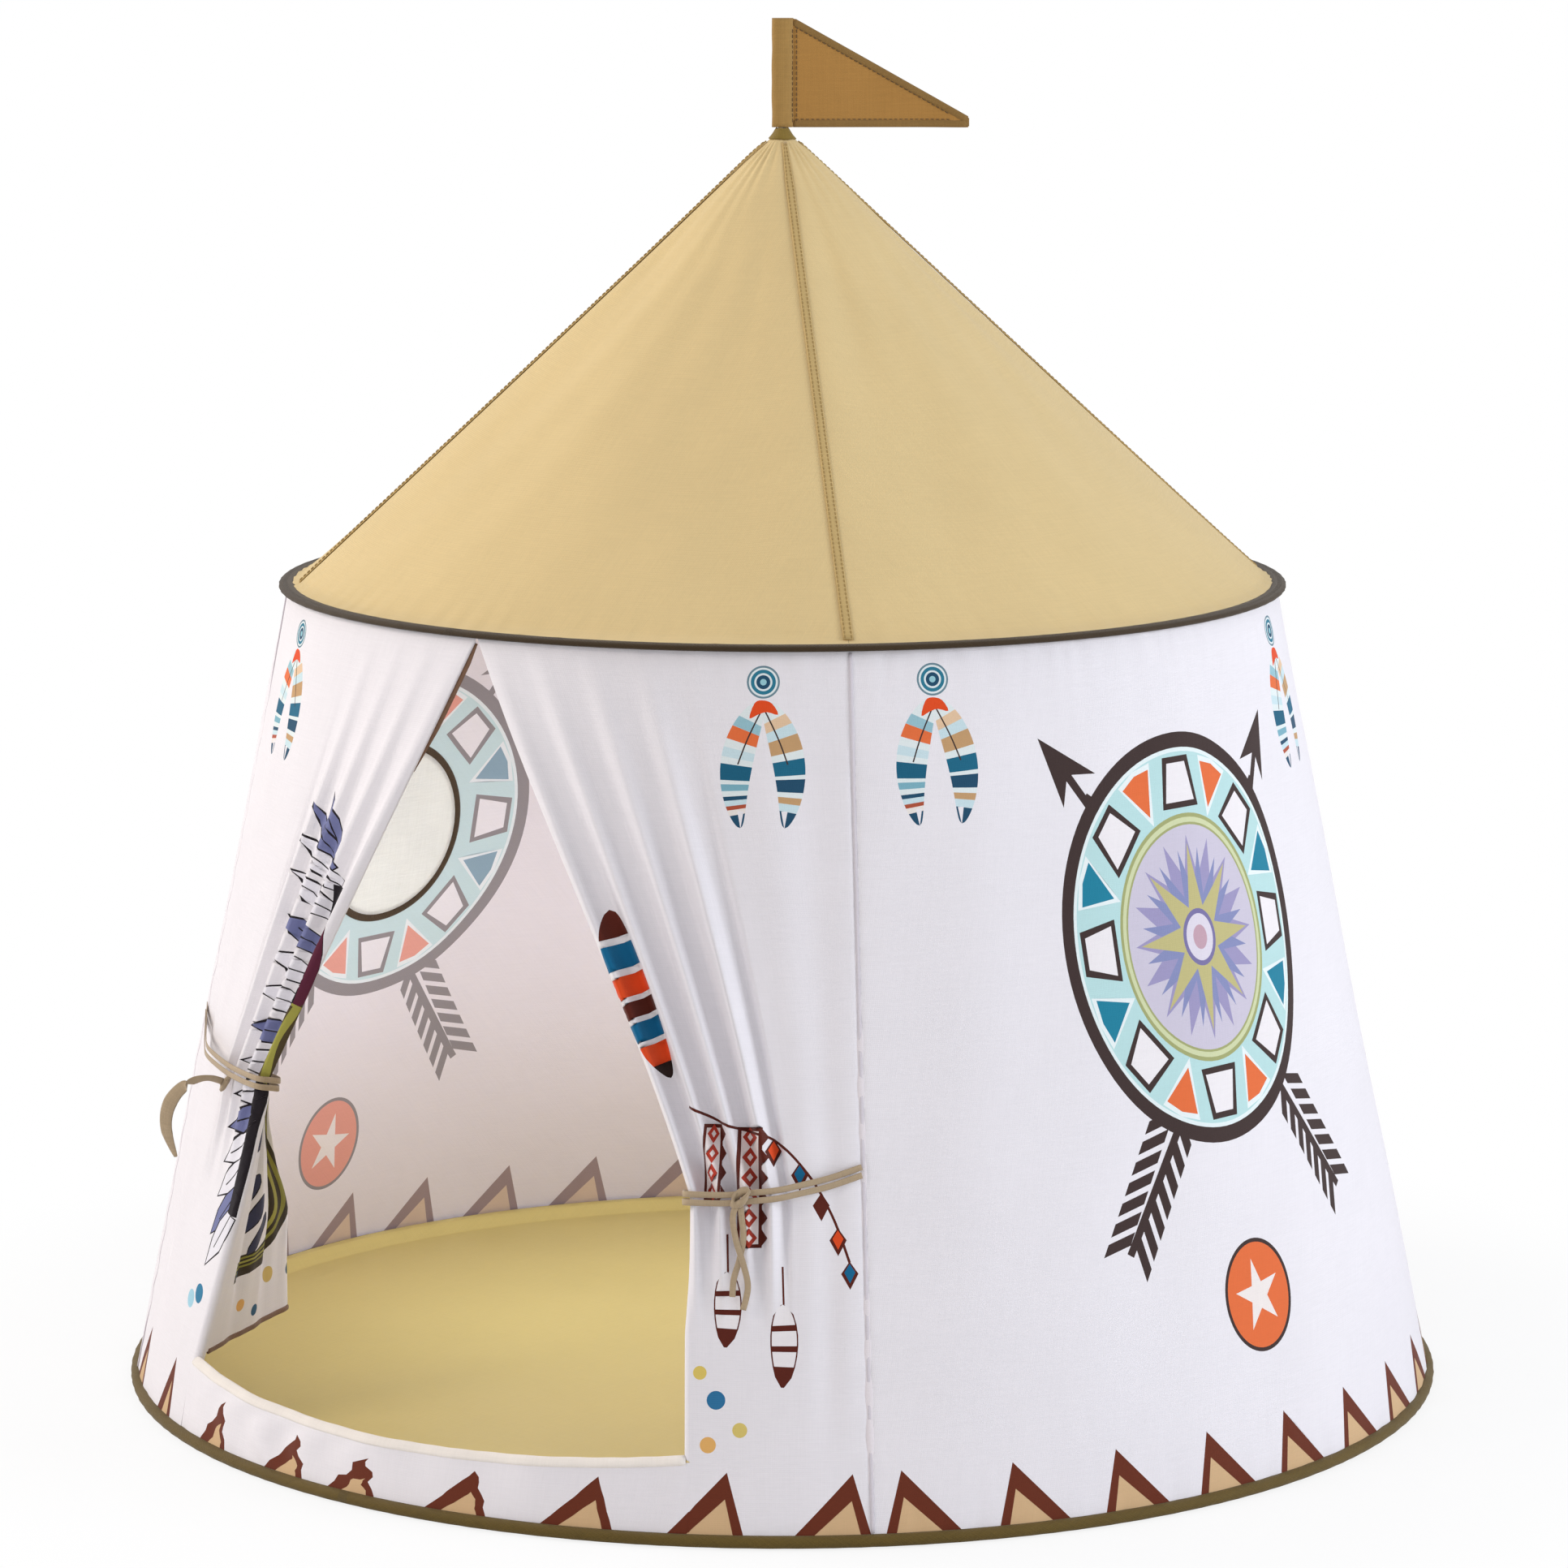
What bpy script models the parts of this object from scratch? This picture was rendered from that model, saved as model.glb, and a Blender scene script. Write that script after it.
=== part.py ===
"""Round play tent: a leaning cloth wall, a conical roof, a tied-back door and a pennant.

Metres, +Z up. The origin is on the ground under the apex, and the door faces -Y.
A heading is an angle in degrees round the tent from the middle of the door, towards +X.
"""

import math

import bmesh
import bpy
from mathutils import Matrix, Vector

for item in list(bpy.data.objects):
    bpy.data.objects.remove(item, do_unlink=True)

# Driving sizes of the tent
BASE_RADIUS = 0.580
EAVE_RADIUS = 0.4394
EAVE_HEIGHT = 0.7016
ROOF_TIP_HEIGHT = 1.0900
ROOF_TIP_RADIUS = 0.0075

# Cloth, tape and running gaps
CLOTH = 0.0010
TAPE = 0.0010
GAP = 0.0003
OVERRUN = 0.0100
WELD = 0.00001
RING_STEPS = 48
STEP_ANGLE = 360 / RING_STEPS

# Bindings and the spring-wire hoops in them
BASE_BINDING_HEIGHT = 0.014
BASE_BINDING_DEPTH = 0.022
EAVE_BINDING_HEIGHT = 0.0074
EAVE_BINDING_DEPTH = 0.0076
WIRE_RADIUS = 0.0015
WIRE_FERRULE_WALL = 0.0005
WIRE_FERRULE_LENGTH = 0.040
WIRE_END_GAP = 0.0006

# Wall and roof cloth, set in from the bindings, and the brim at the foot of the roof
WALL_INSET = 0.007
ROOF_INSET = 0.0165
BRIM_INSET = 0.003
FLOOR_THICKNESS = 0.0012

# Poles and their fittings
POLE_RADIUS = 0.004
POLE_SIDES = 10
FERRULE_WALL = 0.0008
FERRULE_LENGTH = 0.060
SLEEVE_THICKNESS = 0.0008
FOOT_LENGTH = 0.022
FOOT_FLOOR = 0.003
ELBOW_ARM = 0.028
ELBOW_SOCKET = 0.020
HUB_RADIUS = 0.030
HUB_NECK_RADIUS = 0.0115
HUB_SKIRT = 0.017
HUB_MAST_SOCKET = 0.020
HUB_POLE_STOP = 0.013
HUB_STEPS = 24

# Mast and pennant
MAST_RADIUS = 0.003
FLAG_LIFT = 0.0065
FLAG_HEIGHT = 0.0935
FLAG_REACH = 0.1605
FLAG_TIP_HEIGHT = 0.009
FLAG_SLEEVE_WIDTH = 0.024
FLAG_SLEEVE_THICKNESS = 0.010
FLAG_CAP = 0.002
FLAG_HEADING = 127.8

# Window in the left wall
WINDOW_HEADING = 267
WINDOW_HEIGHT = 0.4225
WINDOW_RADIUS = 0.083
WINDOW_BINDING_WIDTH = 0.007
WINDOW_BINDING_THICKNESS = 0.003
WINDOW_STEPS = 32

# Door: cloth folds, tails and ties
SEAM_HEADING = 45
SILL_HEIGHT = 0.066
LEFT_TIE_HEIGHT = 0.312
RIGHT_TIE_HEIGHT = 0.272
FOLD_DEPTH = 0.009
FOLD_COUNT = 4
FOLD_FADE = 0.050
TAIL_LIFT = 0.0075
TAIL_DROP = 0.030
TAIL_FREE_TOP = 0.235
LEFT_TAIL_WIDTH = 0.165
RIGHT_TAIL_WIDTH = 0.160
TAIL_FOLD_DEPTH = 0.006
TAIL_FOLD_COUNT = 2
HINGE_GAP = 0.0016
TIE_RADIUS = 0.0025
TIE_SLACK = 0.0008
TIE_RISE = 0.021
TIE_STEPS = 26

# Sizes that follow
EAVE_BOTTOM = EAVE_HEIGHT - EAVE_BINDING_HEIGHT / 2
EAVE_TOP = EAVE_HEIGHT + EAVE_BINDING_HEIGHT / 2
WALL_FOOT_RADIUS = BASE_RADIUS - WALL_INSET
WALL_HEAD_RADIUS = EAVE_RADIUS - WALL_INSET
LEAN = math.atan2(WALL_FOOT_RADIUS - WALL_HEAD_RADIUS, EAVE_BOTTOM - BASE_BINDING_HEIGHT)
WALL_FOOT = BASE_BINDING_HEIGHT + GAP + CLOTH * math.sin(LEAN)
WALL_HEAD = EAVE_BOTTOM - GAP
SEAM_GAP_ANGLE = math.degrees(GAP / 2 / WALL_HEAD_RADIUS)
ROOF_EDGE_RADIUS = EAVE_RADIUS - ROOF_INSET
BRIM_RADIUS = EAVE_RADIUS - BRIM_INSET
ROOF_EDGE = EAVE_TOP + GAP + CLOTH
PITCH = math.atan2(ROOF_TIP_HEIGHT - ROOF_EDGE, ROOF_EDGE_RADIUS - ROOF_TIP_RADIUS)
FLAG_BOTTOM = ROOF_TIP_HEIGHT + FLAG_LIFT
FLAG_TOP = FLAG_BOTTOM + FLAG_HEIGHT
POLE_SOCKET_RADIUS = POLE_RADIUS + GAP
SLEEVE_INNER = POLE_SOCKET_RADIUS + FERRULE_WALL + GAP
SLEEVE_OUTER = SLEEVE_INNER + SLEEVE_THICKNESS
POLE_INSET = CLOTH + GAP + SLEEVE_OUTER
SEAMS = {
    "front_right": SEAM_HEADING,
    "back_right": 180 - SEAM_HEADING,
    "back_left": 180 + SEAM_HEADING,
    "front_left": 360 - SEAM_HEADING,
}

tent = bpy.data.collections.new("kids_teepee")
cutters = bpy.data.collections.new("cutters")
for group in (tent, cutters):
    bpy.context.scene.collection.children.link(group)


def linear(channel):
    """One sRGB channel, 0 to 255, as linear light."""
    value = channel / 255
    return value / 12.92 if value <= 0.04045 else ((value + 0.055) / 1.055) ** 2.4


def material(name, colour, roughness, metallic=0.0):
    """A plain Principled material of an sRGB hex colour."""
    made = bpy.data.materials.new(name)
    made.use_nodes = True
    shader = made.node_tree.nodes["Principled BSDF"]
    channels = [linear(int(colour[i:i + 2], 16)) for i in (1, 3, 5)]
    shader.inputs["Base Color"].default_value = (*channels, 1.0)
    shader.inputs["Roughness"].default_value = roughness
    shader.inputs["Metallic"].default_value = metallic
    made.diffuse_color = (*channels, 1.0)
    return made


WALL_CLOTH = ("#E9E6EA", 0.85)
ROOF_CLOTH = ("#DCC48F", 0.85)
FLOOR_CLOTH = ("#D3BE7D", 0.8)
BASE_TAPE = ("#5E4A26", 0.8)
EAVE_TAPE = ("#42300F", 0.8)
WINDOW_TAPE = ("#4B3A26", 0.8)
WINDOW_NET = ("#E3E3DC", 0.9)
FLAG_CLOTH = ("#AC8345", 0.85)
TIE_RIBBON = ("#B29A7C", 0.7)
SPRING_WIRE = ("#8F9294", 0.35, 1.0)
CRIMPED_METAL = ("#B0B3B5", 0.3, 1.0)
GLASS_FIBRE = ("#E8E6DC", 0.4)
MOULDED_PLASTIC = ("#3A3A3C", 0.45)


def add(name, data, finish=None, group=tent):
    """An object of its own in a collection, with a material of its own."""
    made = bpy.data.objects.new(name, data)
    group.objects.link(made)
    if finish:
        data.materials.clear()
        data.materials.append(material(name, *finish))
    if group is cutters:
        made.hide_render = True
        made.display_type = "WIRE"
    return made


def baked(made):
    """The object with its modifiers, or its curve, turned into a plain smooth-shaded mesh."""
    bpy.context.view_layer.update()
    depsgraph = bpy.context.evaluated_depsgraph_get()
    mesh = bpy.data.meshes.new_from_object(made.evaluated_get(depsgraph))
    welded = bmesh.new()
    welded.from_mesh(mesh)
    bmesh.ops.remove_doubles(welded, verts=welded.verts, dist=WELD)
    welded.to_mesh(mesh)
    welded.free()
    mesh.shade_smooth()
    mesh.set_sharp_from_angle(angle=math.radians(30))
    place = made.matrix_world.copy()
    name = made.name
    group = made.users_collection[0]
    bpy.data.objects.remove(made, do_unlink=True)
    result = add(name, mesh, None, group)
    result.matrix_world = place
    return result


def turned(name, profile, steps, finish=None, closed=False, sweep=360.0, group=tent):
    """A profile of (radius, height) pairs, down its outer side, turned about Z."""
    mesh = bpy.data.meshes.new(name)
    count = len(profile)
    edges = [(i, i + 1) for i in range(count - 1)]
    if closed:
        edges.append((count - 1, 0))
    mesh.from_pydata([(radius, 0, height) for radius, height in profile], edges, [])
    made = add(name, mesh, finish, group)
    screw = made.modifiers.new("Turn", "SCREW")
    screw.angle = math.radians(sweep)
    screw.steps = steps
    screw.render_steps = steps
    screw.use_merge_vertices = sweep == 360.0
    screw.merge_threshold = WELD
    screw.use_smooth_shade = True
    return made


def solidify(made, thickness, offset):
    """Gives an open surface a thickness: offset -1 is inwards, 0 is both ways."""
    shell = made.modifiers.new("Thickness", "SOLIDIFY")
    shell.thickness = thickness
    shell.offset = offset
    return made


def boolean(made, cutter, operation):
    """Cuts, joins or keeps what two solids share."""
    cut = made.modifiers.new(cutter.name, "BOOLEAN")
    cut.operation = operation
    cut.object = cutter
    cut.solver = "MANIFOLD"


def aim(made, start, end):
    """Puts an object's origin at start, with its Z axis towards end."""
    made.location = start
    made.rotation_mode = "QUATERNION"
    made.rotation_quaternion = (end - start).to_track_quat("Z", "Y")
    return made


def rod(name, start, end, radius, finish=None, group=tent, sides=POLE_SIDES):
    """A solid round bar between two points."""
    length = (end - start).length
    profile = [(0, length), (radius, length), (radius, 0), (0, 0)]
    return aim(turned(name, profile, sides, finish, group=group), start, end)


def tube(name, start, end, outer, inner, finish=None):
    """An open round tube between two points."""
    length = (end - start).length
    profile = [(outer, length), (outer, 0), (inner, 0), (inner, length)]
    return aim(turned(name, profile, POLE_SIDES, finish, closed=True), start, end)


def wire(name, points, radius, finish, resolution):
    """A round wire along a list of points, with closed ends."""
    curve = bpy.data.curves.new(name, "CURVE")
    curve.dimensions = "3D"
    curve.bevel_depth = radius
    curve.bevel_resolution = resolution
    curve.use_fill_caps = True
    line = curve.splines.new("POLY")
    line.points.add(len(points) - 1)
    for point, place in zip(line.points, points):
        point.co = (*place, 1.0)
    return add(name, curve, finish)


def smooth_path(keys, count):
    """A smooth curve through key points, read at evenly spaced steps."""
    path = []
    last = len(keys) - 1
    for step in range(count + 1):
        place = step / count * last
        i = min(int(place), last - 1)
        t = place - i
        before, start, end, after = (keys[max(0, min(last, i + k))] for k in (-1, 0, 1, 2))
        path.append(0.5 * (2 * start + (end - before) * t
                           + (2 * before - 5 * start + 4 * end - after) * t ** 2
                           + (3 * start - before - 3 * end + after) * t ** 3))
    return path


# Wall geometry
def wall_radius(height):
    """Radius of the wall's outer face at a height."""
    return WALL_FOOT_RADIUS - (height - BASE_BINDING_HEIGHT) * math.tan(LEAN)


def wall_point(heading, height, out=0.0):
    """A point by the wall: its distance out is from the middle of the cloth, square to it."""
    radius = wall_radius(height) - CLOTH / 2 / math.cos(LEAN) + out * math.cos(LEAN)
    turn = math.radians(heading)
    return Vector((radius * math.sin(turn), -radius * math.cos(turn), height + out * math.sin(LEAN)))


def heading_of(point):
    """The heading at which a point stands round the tent."""
    return math.degrees(math.atan2(point.x, -point.y))


def sector(name, start, end, steps, profile, finish, thickness=CLOTH, offset=-1, group=tent):
    """A sheet of cloth turned through a sector between two headings."""
    made = turned(name, profile, steps, finish, sweep=end - start, group=group)
    made.rotation_euler.z = math.radians(start - 90)
    return solidify(made, thickness, offset)


# Floor, bindings and hoops
def binding(name, outer, bottom, height, depth, finish):
    """A folded tape round a hoop, open towards the inside of the tent."""
    top = bottom + height
    profile = [
        (outer - depth, top),
        (outer, top),
        (outer, bottom),
        (outer - depth, bottom),
        (outer - depth, bottom + TAPE),
        (outer - TAPE, bottom + TAPE),
        (outer - TAPE, top - TAPE),
        (outer - depth, top - TAPE),
    ]
    return turned(name, profile, RING_STEPS, finish, closed=True)


def hoop(name, binding_radius, binding_bottom):
    """A spring-wire ring that lies in its binding, with its ends in a crimped ferrule at the back."""
    ferrule_radius = WIRE_RADIUS + GAP + WIRE_FERRULE_WALL
    radius = binding_radius - TAPE - GAP - ferrule_radius
    height = binding_bottom + TAPE + GAP + ferrule_radius
    half_step = math.radians(STEP_ANGLE / 2)
    joint_turn = math.radians(90) + half_step
    along = Vector((-math.sin(joint_turn), math.cos(joint_turn), 0))
    joint = Vector((math.cos(joint_turn), math.sin(joint_turn), 0)) * radius * math.cos(half_step)
    joint.z = height
    points = [joint + along * WIRE_END_GAP / 2]
    for step in range(RING_STEPS):
        turn = joint_turn + half_step * (2 * step + 1)
        points.append(Vector((radius * math.cos(turn), radius * math.sin(turn), height)))
    points.append(joint - along * WIRE_END_GAP / 2)
    baked(wire(name, points, WIRE_RADIUS, SPRING_WIRE, 1))
    half = along * WIRE_FERRULE_LENGTH / 2
    tube(name + "_ferrule", joint - half, joint + half, ferrule_radius, WIRE_RADIUS + GAP, CRIMPED_METAL)


def floor_sheet():
    """The round floor, sewn to the base binding along its edge."""
    mesh = bpy.data.meshes.new("floor_sheet")
    disc = bmesh.new()
    radius = BASE_RADIUS - BASE_BINDING_DEPTH - GAP
    lift = Matrix.Translation((0, 0, FLOOR_THICKNESS / 2))
    bmesh.ops.create_cone(disc, cap_ends=True, segments=RING_STEPS, radius1=radius, radius2=radius,
                          depth=FLOOR_THICKNESS, matrix=lift)
    disc.to_mesh(mesh)
    disc.free()
    add("floor_sheet", mesh, FLOOR_CLOTH)


floor_sheet()
binding("base_binding", BASE_RADIUS, 0, BASE_BINDING_HEIGHT, BASE_BINDING_DEPTH, BASE_TAPE)
binding("eave_binding", EAVE_RADIUS, EAVE_BOTTOM, EAVE_BINDING_HEIGHT, EAVE_BINDING_DEPTH, EAVE_TAPE)
hoop("base_hoop", BASE_RADIUS, 0)
hoop("eave_hoop", EAVE_RADIUS, EAVE_BOTTOM)


# Wall panels and roof gores, a quarter of the tent each
WALL_PROFILE = [(wall_radius(WALL_HEAD), WALL_HEAD), (wall_radius(WALL_FOOT), WALL_FOOT)]
ROOF_PROFILE = [(ROOF_TIP_RADIUS, ROOF_TIP_HEIGHT), (ROOF_EDGE_RADIUS, ROOF_EDGE), (BRIM_RADIUS, ROOF_EDGE)]
QUARTER_STEPS = RING_STEPS // 4
PANELS = {"front": 0, "right": 90, "back": 180, "left": 270}


def quarter(name, middle, profile, finish):
    """A panel from seam to seam, moved out a little along its middle so that its seams keep their gaps."""
    made = sector(name, middle - SEAM_HEADING, middle + SEAM_HEADING, QUARTER_STEPS, profile, finish)
    turn = math.radians(middle)
    shift = GAP / 2 / math.sin(math.radians(SEAM_HEADING))
    made.location = (shift * math.sin(turn), -shift * math.cos(turn), 0)
    return made


for side, middle in PANELS.items():
    quarter("roof_gore_" + side, middle, ROOF_PROFILE, ROOF_CLOTH)
    if side != "front":
        quarter(side + "_wall", middle, WALL_PROFILE, WALL_CLOTH)


# Window in the left wall: its hole, its bound edge and its screen
def window_cutter(name, radius):
    """A round bar square to the wall at the window, for cutting or keeping a disc."""
    centre = wall_point(WINDOW_HEADING, WINDOW_HEIGHT)
    out = (wall_point(WINDOW_HEADING, WINDOW_HEIGHT, WINDOW_RADIUS) - centre).normalized()
    reach = out * WINDOW_RADIUS
    return rod(name, centre - reach, centre + reach, radius, group=cutters, sides=WINDOW_STEPS)


def window():
    """Cuts the window and fills it with a binding ring and a screen that follow the wall."""
    hole = window_cutter("window_hole", WINDOW_RADIUS)
    ring_outside = window_cutter("window_ring_outside", WINDOW_RADIUS - GAP)
    ring_inside = window_cutter("window_ring_inside", WINDOW_RADIUS - GAP - WINDOW_BINDING_WIDTH)
    screen_edge = window_cutter("window_screen_edge", WINDOW_RADIUS - 2 * GAP - WINDOW_BINDING_WIDTH)
    boolean(bpy.data.objects["left_wall"], hole, "DIFFERENCE")
    middle = PANELS["left"]
    binding_ring = quarter("window_binding", middle, WALL_PROFILE, WINDOW_TAPE)
    binding_ring.modifiers["Thickness"].thickness = WINDOW_BINDING_THICKNESS
    binding_ring.modifiers["Thickness"].offset = -CLOTH / WINDOW_BINDING_THICKNESS
    boolean(binding_ring, ring_outside, "INTERSECT")
    boolean(binding_ring, ring_inside, "DIFFERENCE")
    screen = quarter("window_screen", middle, WALL_PROFILE, WINDOW_NET)
    boolean(screen, screen_edge, "INTERSECT")


window()


# Poles at each seam, drawn in the plane of +X and Z
def crossing(point, direction, other, other_direction):
    """Where two lines in the XZ plane cross."""
    apart = other - point
    turn = direction.x * other_direction.z - direction.z * other_direction.x
    return point + direction * (apart.x * other_direction.z - apart.z * other_direction.x) / turn


WALL_UP = Vector((-math.sin(LEAN), 0, math.cos(LEAN)))
ROOF_UP = Vector((-math.cos(PITCH), 0, math.sin(PITCH)))
WALL_AXIS = Vector((wall_radius(WALL_FOOT) - POLE_INSET / math.cos(LEAN), 0, WALL_FOOT))
ROOF_OUT = Vector((math.sin(PITCH), 0, math.cos(PITCH)))
ROOF_AXIS = Vector((ROOF_EDGE_RADIUS, 0, ROOF_EDGE)) - POLE_INSET * ROOF_OUT
BEND = crossing(WALL_AXIS, WALL_UP, ROOF_AXIS, ROOF_UP)


def wall_axis_at(height):
    """The point of the wall pole's axis at a height."""
    return WALL_AXIS + WALL_UP * ((height - WALL_AXIS.z) / WALL_UP.z)


def roof_axis_at(radius):
    """The point of the roof pole's axis at a radius."""
    return ROOF_AXIS + ROOF_UP * ((radius - ROOF_AXIS.x) / ROOF_UP.x)


def elbow(name):
    """A bent plastic socket that joins a wall pole to its roof pole at the eave."""
    straight = ELBOW_ARM - ELBOW_SOCKET
    points = [
        BEND - WALL_UP * ELBOW_ARM,
        BEND - WALL_UP * straight,
        BEND + (ROOF_UP - WALL_UP) * straight / 4,
        BEND + ROOF_UP * straight,
        BEND + ROOF_UP * ELBOW_ARM,
    ]
    body = baked(wire(name, points, SLEEVE_OUTER, MOULDED_PLASTIC, 2))
    reach = ELBOW_ARM + OVERRUN
    lower = rod(name + "_lower_socket", BEND - WALL_UP * reach, BEND - WALL_UP * straight,
                POLE_SOCKET_RADIUS, group=cutters)
    upper = rod(name + "_upper_socket", BEND + ROOF_UP * straight, BEND + ROOF_UP * reach,
                POLE_SOCKET_RADIUS, group=cutters)
    boolean(body, lower, "DIFFERENCE")
    boolean(body, upper, "DIFFERENCE")
    return baked(body)


def foot(name, bottom):
    """A moulded cap with a blind socket under a wall pole."""
    profile = [
        (0, FOOT_FLOOR),
        (POLE_SOCKET_RADIUS, FOOT_FLOOR),
        (POLE_SOCKET_RADIUS, FOOT_LENGTH),
        (SLEEVE_OUTER, FOOT_LENGTH),
        (SLEEVE_OUTER, 0),
        (0, 0),
    ]
    return aim(turned(name, profile, POLE_SIDES, MOULDED_PLASTIC), bottom, bottom + WALL_UP)


def seam_pieces():
    """The poles, sleeves and fittings of one seam, by name."""
    foot_bottom = wall_axis_at(BASE_BINDING_HEIGHT + GAP + SLEEVE_OUTER * math.sin(LEAN))
    pole_bottom = foot_bottom + WALL_UP * (FOOT_FLOOR + GAP)
    stop = ELBOW_ARM - ELBOW_SOCKET + GAP
    pole_top = BEND - WALL_UP * stop
    half_way = (pole_bottom + pole_top) / 2
    half_ferrule = WALL_UP * FERRULE_LENGTH / 2
    sleeve_bottom = foot_bottom + WALL_UP * (FOOT_LENGTH + GAP)
    sleeve_top = BEND - WALL_UP * (ELBOW_ARM + GAP)
    roof_pole_bottom = BEND + ROOF_UP * stop
    roof_pole_top = roof_axis_at(HUB_POLE_STOP) - ROOF_UP * GAP
    roof_sleeve_bottom = BEND + ROOF_UP * (ELBOW_ARM + GAP)
    roof_sleeve_top = roof_axis_at(HUB_RADIUS + GAP + SLEEVE_OUTER * math.sin(PITCH))
    return {
        "pole_foot": foot("pole_foot", foot_bottom),
        "lower_wall_pole": rod("lower_wall_pole", pole_bottom, half_way - WALL_UP * GAP / 2,
                               POLE_RADIUS, GLASS_FIBRE),
        "upper_wall_pole": rod("upper_wall_pole", half_way + WALL_UP * GAP / 2, pole_top,
                               POLE_RADIUS, GLASS_FIBRE),
        "wall_pole_ferrule": tube("wall_pole_ferrule", half_way - half_ferrule, half_way + half_ferrule,
                                  POLE_SOCKET_RADIUS + FERRULE_WALL, POLE_SOCKET_RADIUS, CRIMPED_METAL),
        "wall_sleeve": tube("wall_sleeve", sleeve_bottom, sleeve_top, SLEEVE_OUTER, SLEEVE_INNER, WALL_CLOTH),
        "eave_elbow": elbow("eave_elbow"),
        "roof_pole": rod("roof_pole", roof_pole_bottom, roof_pole_top, POLE_RADIUS, GLASS_FIBRE),
        "roof_sleeve": tube("roof_sleeve", roof_sleeve_bottom, roof_sleeve_top,
                            SLEEVE_OUTER, SLEEVE_INNER, ROOF_CLOTH),
    }


def raise_seams():
    """Copies one seam's pieces to all four seams, each set under an empty turned to its seam."""
    pieces = {name: baked(made) for name, made in seam_pieces().items()}
    for seam, heading in SEAMS.items():
        turn = bpy.data.objects.new("seam_" + seam, None)
        tent.objects.link(turn)
        turn.rotation_euler.z = math.radians(heading - 90)
        for name, piece in pieces.items():
            copy = piece.copy()
            copy.name = name + "_" + seam
            copy.parent = turn
            tent.objects.link(copy)
    for piece in pieces.values():
        bpy.data.objects.remove(piece, do_unlink=True)


raise_seams()


# Hub at the apex, mast and pennant
def roof_underside(radius):
    """Height of the roof's inner face at a radius."""
    return ROOF_TIP_HEIGHT - (radius - ROOF_TIP_RADIUS) * math.tan(PITCH) - CLOTH / math.cos(PITCH)


def apex_hub():
    """A moulded hub that takes the four roof poles in its flank and the mast in its top."""
    clearance = GAP / math.cos(PITCH)
    top = roof_underside(HUB_NECK_RADIUS) - clearance
    shoulder = roof_underside(HUB_RADIUS) - clearance
    bottom = shoulder - HUB_SKIRT
    bore = MAST_RADIUS + GAP
    profile = [
        (0, top - HUB_MAST_SOCKET),
        (bore, top - HUB_MAST_SOCKET),
        (bore, top),
        (HUB_NECK_RADIUS, top),
        (HUB_RADIUS, shoulder),
        (HUB_RADIUS, bottom),
        (0, bottom),
    ]
    hub = turned("apex_hub", profile, HUB_STEPS, MOULDED_PLASTIC)
    for seam, heading in SEAMS.items():
        socket = rod("hub_socket_" + seam, roof_axis_at(HUB_RADIUS + OVERRUN), roof_axis_at(HUB_POLE_STOP),
                     POLE_SOCKET_RADIUS, group=cutters)
        turn = bpy.data.objects.new("hub_turn_" + seam, None)
        cutters.objects.link(turn)
        turn.rotation_euler.z = math.radians(heading - 90)
        socket.parent = turn
        boolean(hub, socket, "DIFFERENCE")
    return top - HUB_MAST_SOCKET


def flag():
    """The pennant: a triangle of cloth on a sleeve that turns on the mast."""
    half_width = FLAG_SLEEVE_WIDTH / 2
    mesh = bpy.data.meshes.new("flag")
    sleeve = bmesh.new()
    bmesh.ops.create_cone(sleeve, cap_ends=True, segments=HUB_STEPS, radius1=half_width, radius2=half_width,
                          depth=FLAG_HEIGHT, matrix=Matrix.Translation((0, 0, FLAG_HEIGHT / 2)))
    bmesh.ops.scale(sleeve, verts=sleeve.verts, vec=(1, FLAG_SLEEVE_THICKNESS / FLAG_SLEEVE_WIDTH, 1))
    sleeve.to_mesh(mesh)
    sleeve.free()
    made = add("flag", mesh, FLAG_CLOTH)
    root = (half_width + MAST_RADIUS + GAP) / 2
    outline = [(root, 0), (FLAG_REACH, 0), (FLAG_REACH, FLAG_TIP_HEIGHT), (root, FLAG_HEIGHT)]
    pennant = bpy.data.curves.new("flag_pennant", "CURVE")
    pennant.dimensions = "2D"
    pennant.fill_mode = "BOTH"
    pennant.extrude = CLOTH / 2
    edge = pennant.splines.new("POLY")
    edge.points.add(len(outline) - 1)
    edge.use_cyclic_u = True
    for point, (across, up) in zip(edge.points, outline):
        point.co = (across, up, 0, 1)
    flat = add("flag_pennant", pennant, None, cutters)
    flat.rotation_euler.x = math.radians(90)
    bore = rod("flag_bore", Vector((0, 0, -OVERRUN)), Vector((0, 0, FLAG_HEIGHT - FLAG_CAP)),
               MAST_RADIUS + GAP, group=cutters, sides=HUB_STEPS)
    boolean(made, baked(flat), "UNION")
    boolean(made, bore, "DIFFERENCE")
    made = baked(made)
    made.location.z = FLAG_BOTTOM
    made.rotation_euler.z = math.radians(FLAG_HEADING - 90)


mast_seat = apex_hub()
rod("flag_mast", Vector((0, 0, mast_seat + GAP)), Vector((0, 0, FLAG_TOP - FLAG_CAP - GAP)),
    MAST_RADIUS, GLASS_FIBRE)
flag()


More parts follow.
